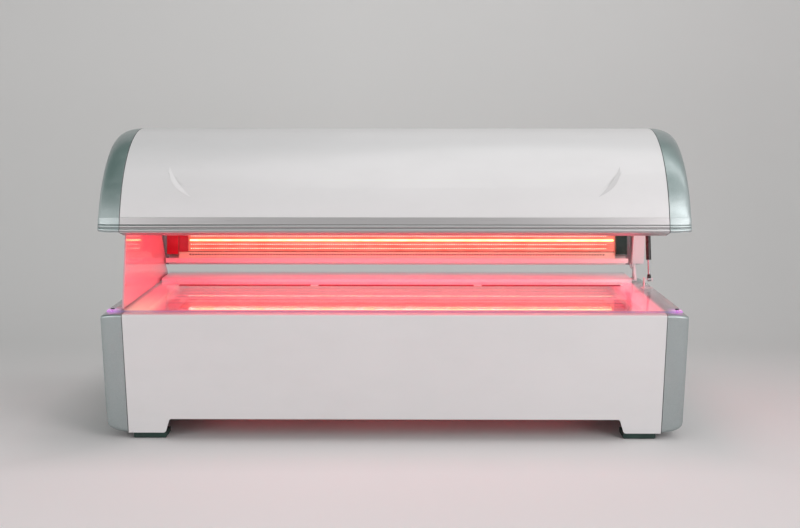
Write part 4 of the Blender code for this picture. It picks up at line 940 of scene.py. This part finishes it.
# screws that hold the rear panel
screws = {
    "across": (-0.98, -0.49, 0.0, 0.49, 0.98),
    "up": (0.150, 0.462),
    "radius": 0.0055,
    "crown": 0.00429,
    "ring": 0.00198,
    "high": 0.0022,
}
head = bmesh.new()
bmesh.ops.create_cone(
    head,
    cap_ends=True,
    segments=20,
    radius1=screws["radius"],
    radius2=screws["crown"],
    depth=screws["high"],
)
crown = [face for face in head.faces if face.normal.z > 0.9]
bmesh.ops.inset_individual(head, faces=crown, thickness=screws["ring"], depth=-screws["high"] / 3)
bmesh.ops.rotate(head, matrix=Matrix.Rotation(math.radians(-90.0), 3, "X"), verts=head.verts)
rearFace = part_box("base_rear_panel")[1][1]
heads = bmesh.new()
for x in screws["across"]:
    for z in screws["up"]:
        addShape(heads, head, Matrix.Translation((x, rearFace + screws["high"] / 2, z)))
head.free()
addPiece("rearScrews", heads, "base", "polished_aluminium", rodSteel)

# glowing strips under the floor pan: painted light, a red glow standing in for lamp light that leaks out
# under the bed
underStrips = {"rows": (-0.26, -0.12, 0.02, 0.16), "size": (1.5, 0.014, 0.001), "bevel": 0.0002, "proud": 0.0004}
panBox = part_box("base_floor_pan")
underStripRow = bmesh.new()
for y in underStrips["rows"]:
    strip = roundedBar(underStrips["size"], underStrips["bevel"], 1)
    addShape(underStripRow, strip, Matrix.Translation((0.0, y, panBox[0][2] - underStrips["proud"])))
    strip.free()
addPiece("panGlowStrips", underStripRow, "base", "light_board", underGlow)
print("sheet rear, grips, sockets, screws and slots set")

# studio: one sheet runs from under the bed up the wall behind it
studio = {
    "front": -7.0,
    "wall": 2.6,
    "side": 6.5,
    "top": 4.5,
    "bend": 1.2,
    "floor": (0.81, 0.782, 0.782, 1.0),
    "wallColour": (0.64, 0.64, 0.63, 1.0),
    "wallRun": (-1.0, 2.6),
    "lift": (0.17, 0.03),
    "liftRun": (-0.3, 2.2),
    "bedWide": (1.0, 1.5),
    "bedDeep": (0.45, 0.9),
}
sheet = bmesh.new()
bmesh.ops.create_grid(sheet, x_segments=1, y_segments=1, size=1.0)
bmesh.ops.scale(sheet, vec=(studio["side"], (studio["wall"] - studio["front"]) / 2, 1.0), verts=sheet.verts)
bmesh.ops.translate(sheet, vec=(0.0, (studio["wall"] + studio["front"]) / 2, 0.0), verts=sheet.verts)
far = [edge for edge in sheet.edges if min(corner.co.y for corner in edge.verts) > studio["wall"] - 0.01]
raised = bmesh.ops.extrude_edge_only(sheet, edges=far)["geom"]
raisedVerts = [item for item in raised if isinstance(item, bmesh.types.BMVert)]
bmesh.ops.translate(sheet, vec=(0.0, 0.0, studio["top"]), verts=raisedVerts)
fold = [edge for edge in sheet.edges if len(edge.link_faces) == 2]
bmesh.ops.bevel(
    sheet, geom=fold, offset=studio["bend"], segments=16, profile=0.5, affect="EDGES", material=-1
)
for face in sheet.faces:
    face.smooth = True
sheetMesh = bpy.data.meshes.new("studioSheet")
sheet.to_mesh(sheetMesh)
sheet.free()
studioSheet = bpy.data.objects.new("studioSheet", sheetMesh)
scene.collection.objects.link(studioSheet)
paper, tree, shader = startFinish("studioPaper")
spots = addNode(tree, "ShaderNodeSeparateXYZ", {0: objectPlace(tree)}).outputs
rise = spread(tree, spots[1], *studio["wallRun"])
paperColour = blendColour(tree, rise, studio["floor"], studio["wallColour"])
path = addNode(tree, "ShaderNodeLightPath").outputs
seen = sums(tree, "MAXIMUM", path["Is Glossy Ray"], path["Is Transmission Ray"])
seen = sums(tree, "MAXIMUM", path["Is Camera Ray"], seen)
wide, deep = (sums(tree, "ABSOLUTE", spot, 0.0) for spot in spots[:2])
besideBed = spread(tree, wide, *studio["bedWide"])
beforeBed = spread(tree, deep, *studio["bedDeep"])
clearOfBed = sums(tree, "MAXIMUM", besideBed, beforeBed)
# painted light: the paper glows a little to camera, glossy and transmission rays, more on the left than the
# right, and not round the bed so the shade under it stays
lift = sums(tree, "MULTIPLY", clearOfBed, spread(tree, spots[0], *studio["liftRun"], *studio["lift"]))
paperValues = {
    "Base Color": paperColour,
    "Roughness": 0.85,
    "Specular IOR Level": 0.2,
    "Emission Color": paperColour,
    "Emission Strength": sums(tree, "MULTIPLY", seen, lift),
}
setInputs(tree, shader, paperValues)
behind = addNode(tree, "ShaderNodeNewGeometry").outputs["Backfacing"]  # open from behind
unseen = addNode(tree, "ShaderNodeBsdfTransparent").outputs[0]
openBack = addNode(tree, "ShaderNodeMixShader", {0: behind, 1: shader.outputs[0], 2: unseen}).outputs[0]
tree.links.new(openBack, tree.nodes["Material Output"].inputs["Surface"])
sheetMesh.materials.append(paper)

# light: a tall key from the right, a low fill from the left, two weak ones above
lamps = {
    "key": ((3.4, -4.2, 2.7), (2.6, 4.2), 108.0),
    "fill": ((-3.6, -4.4, 1.7), (3.0, 2.4), 49.0),
    "top": ((0.4, -0.4, 4.4), (3.6, 2.6), 38.0),
    "spot": ((3.1, -0.45, 4.4), (1.0, 2.2), 17.0),
}
lampTint, lampAim = (1.0, 0.978, 0.985), Vector((0.0, 0.0, 0.6))
for name, (spot, size, power) in lamps.items():
    lamp = bpy.data.lights.new(name, "AREA")
    lamp.shape = "RECTANGLE"
    lamp.size, lamp.size_y = size
    lamp.energy = power
    lamp.color = lampTint
    holder = bpy.data.objects.new(name, lamp)
    holder.location = spot
    holder.rotation_euler = (lampAim - Vector(spot)).to_track_quat("-Z", "Y").to_euler()
    scene.collection.objects.link(holder)

# air: plain to matt surfaces, while glossy ones see a pale band low down and green above it
air = {
    "across": (-0.7, 0.7),
    "up": (0.25, 0.85),
    "left": (0.235, 0.23, 0.23, 1.0),
    "leftShine": (0.06, 0.215, 0.175, 1.0),
    "glossLow": (0.80, 0.81, 0.80, 1.0),
    "glossRise": (0.46, 0.70),
    "right": (0.69, 0.67, 0.68, 1.0),
    "zenith": (0.10, 0.125, 0.12, 1.0),
    "zenithShine": (0.012, 0.12, 0.09, 1.0),
}
world = bpy.data.worlds.new("studioAir")
scene.world = world
world.use_nodes = True
tree = world.node_tree
skyPlace = addNode(tree, "ShaderNodeTexCoord").outputs["Generated"]
spots = addNode(tree, "ShaderNodeSeparateXYZ", {0: skyPlace}).outputs
shine = addNode(tree, "ShaderNodeLightPath").outputs["Is Glossy Ray"]
climb = spread(tree, spots[2], *air["glossRise"])
leftGloss = blendColour(tree, climb, air["glossLow"], air["leftShine"])
leftSide = blendColour(tree, shine, air["left"], leftGloss)
level = blendColour(tree, spread(tree, spots[0], *air["across"]), leftSide, air["right"])
glossTop = blendColour(tree, climb, air["glossLow"], air["zenithShine"])
overhead = blendColour(tree, shine, air["zenith"], glossTop)
skyColour = blendColour(tree, spread(tree, spots[2], *air["up"]), level, overhead)
tree.links.new(skyColour, tree.nodes["Background"].inputs["Color"])
tree.nodes["Background"].inputs["Strength"].default_value = 1.0
print("studio lit")

# camera at the photograph's viewing angle
view = {"spot": (0.060, -5.137, 1.3057), "pitch": 0.13265, "yaw": 0.00815, "lens": 56.25}
lens = bpy.data.cameras.new("photoCamera")
lens.sensor_fit = "HORIZONTAL"
lens.sensor_width = 36.0
lens.lens = view["lens"]
lens.clip_end = 60.0
camera = bpy.data.objects.new("photoCamera", lens)
camera.location = view["spot"]
camera.rotation_euler = (math.pi / 2 - view["pitch"], 0.0, view["yaw"])
scene.collection.objects.link(camera)
scene.camera = camera
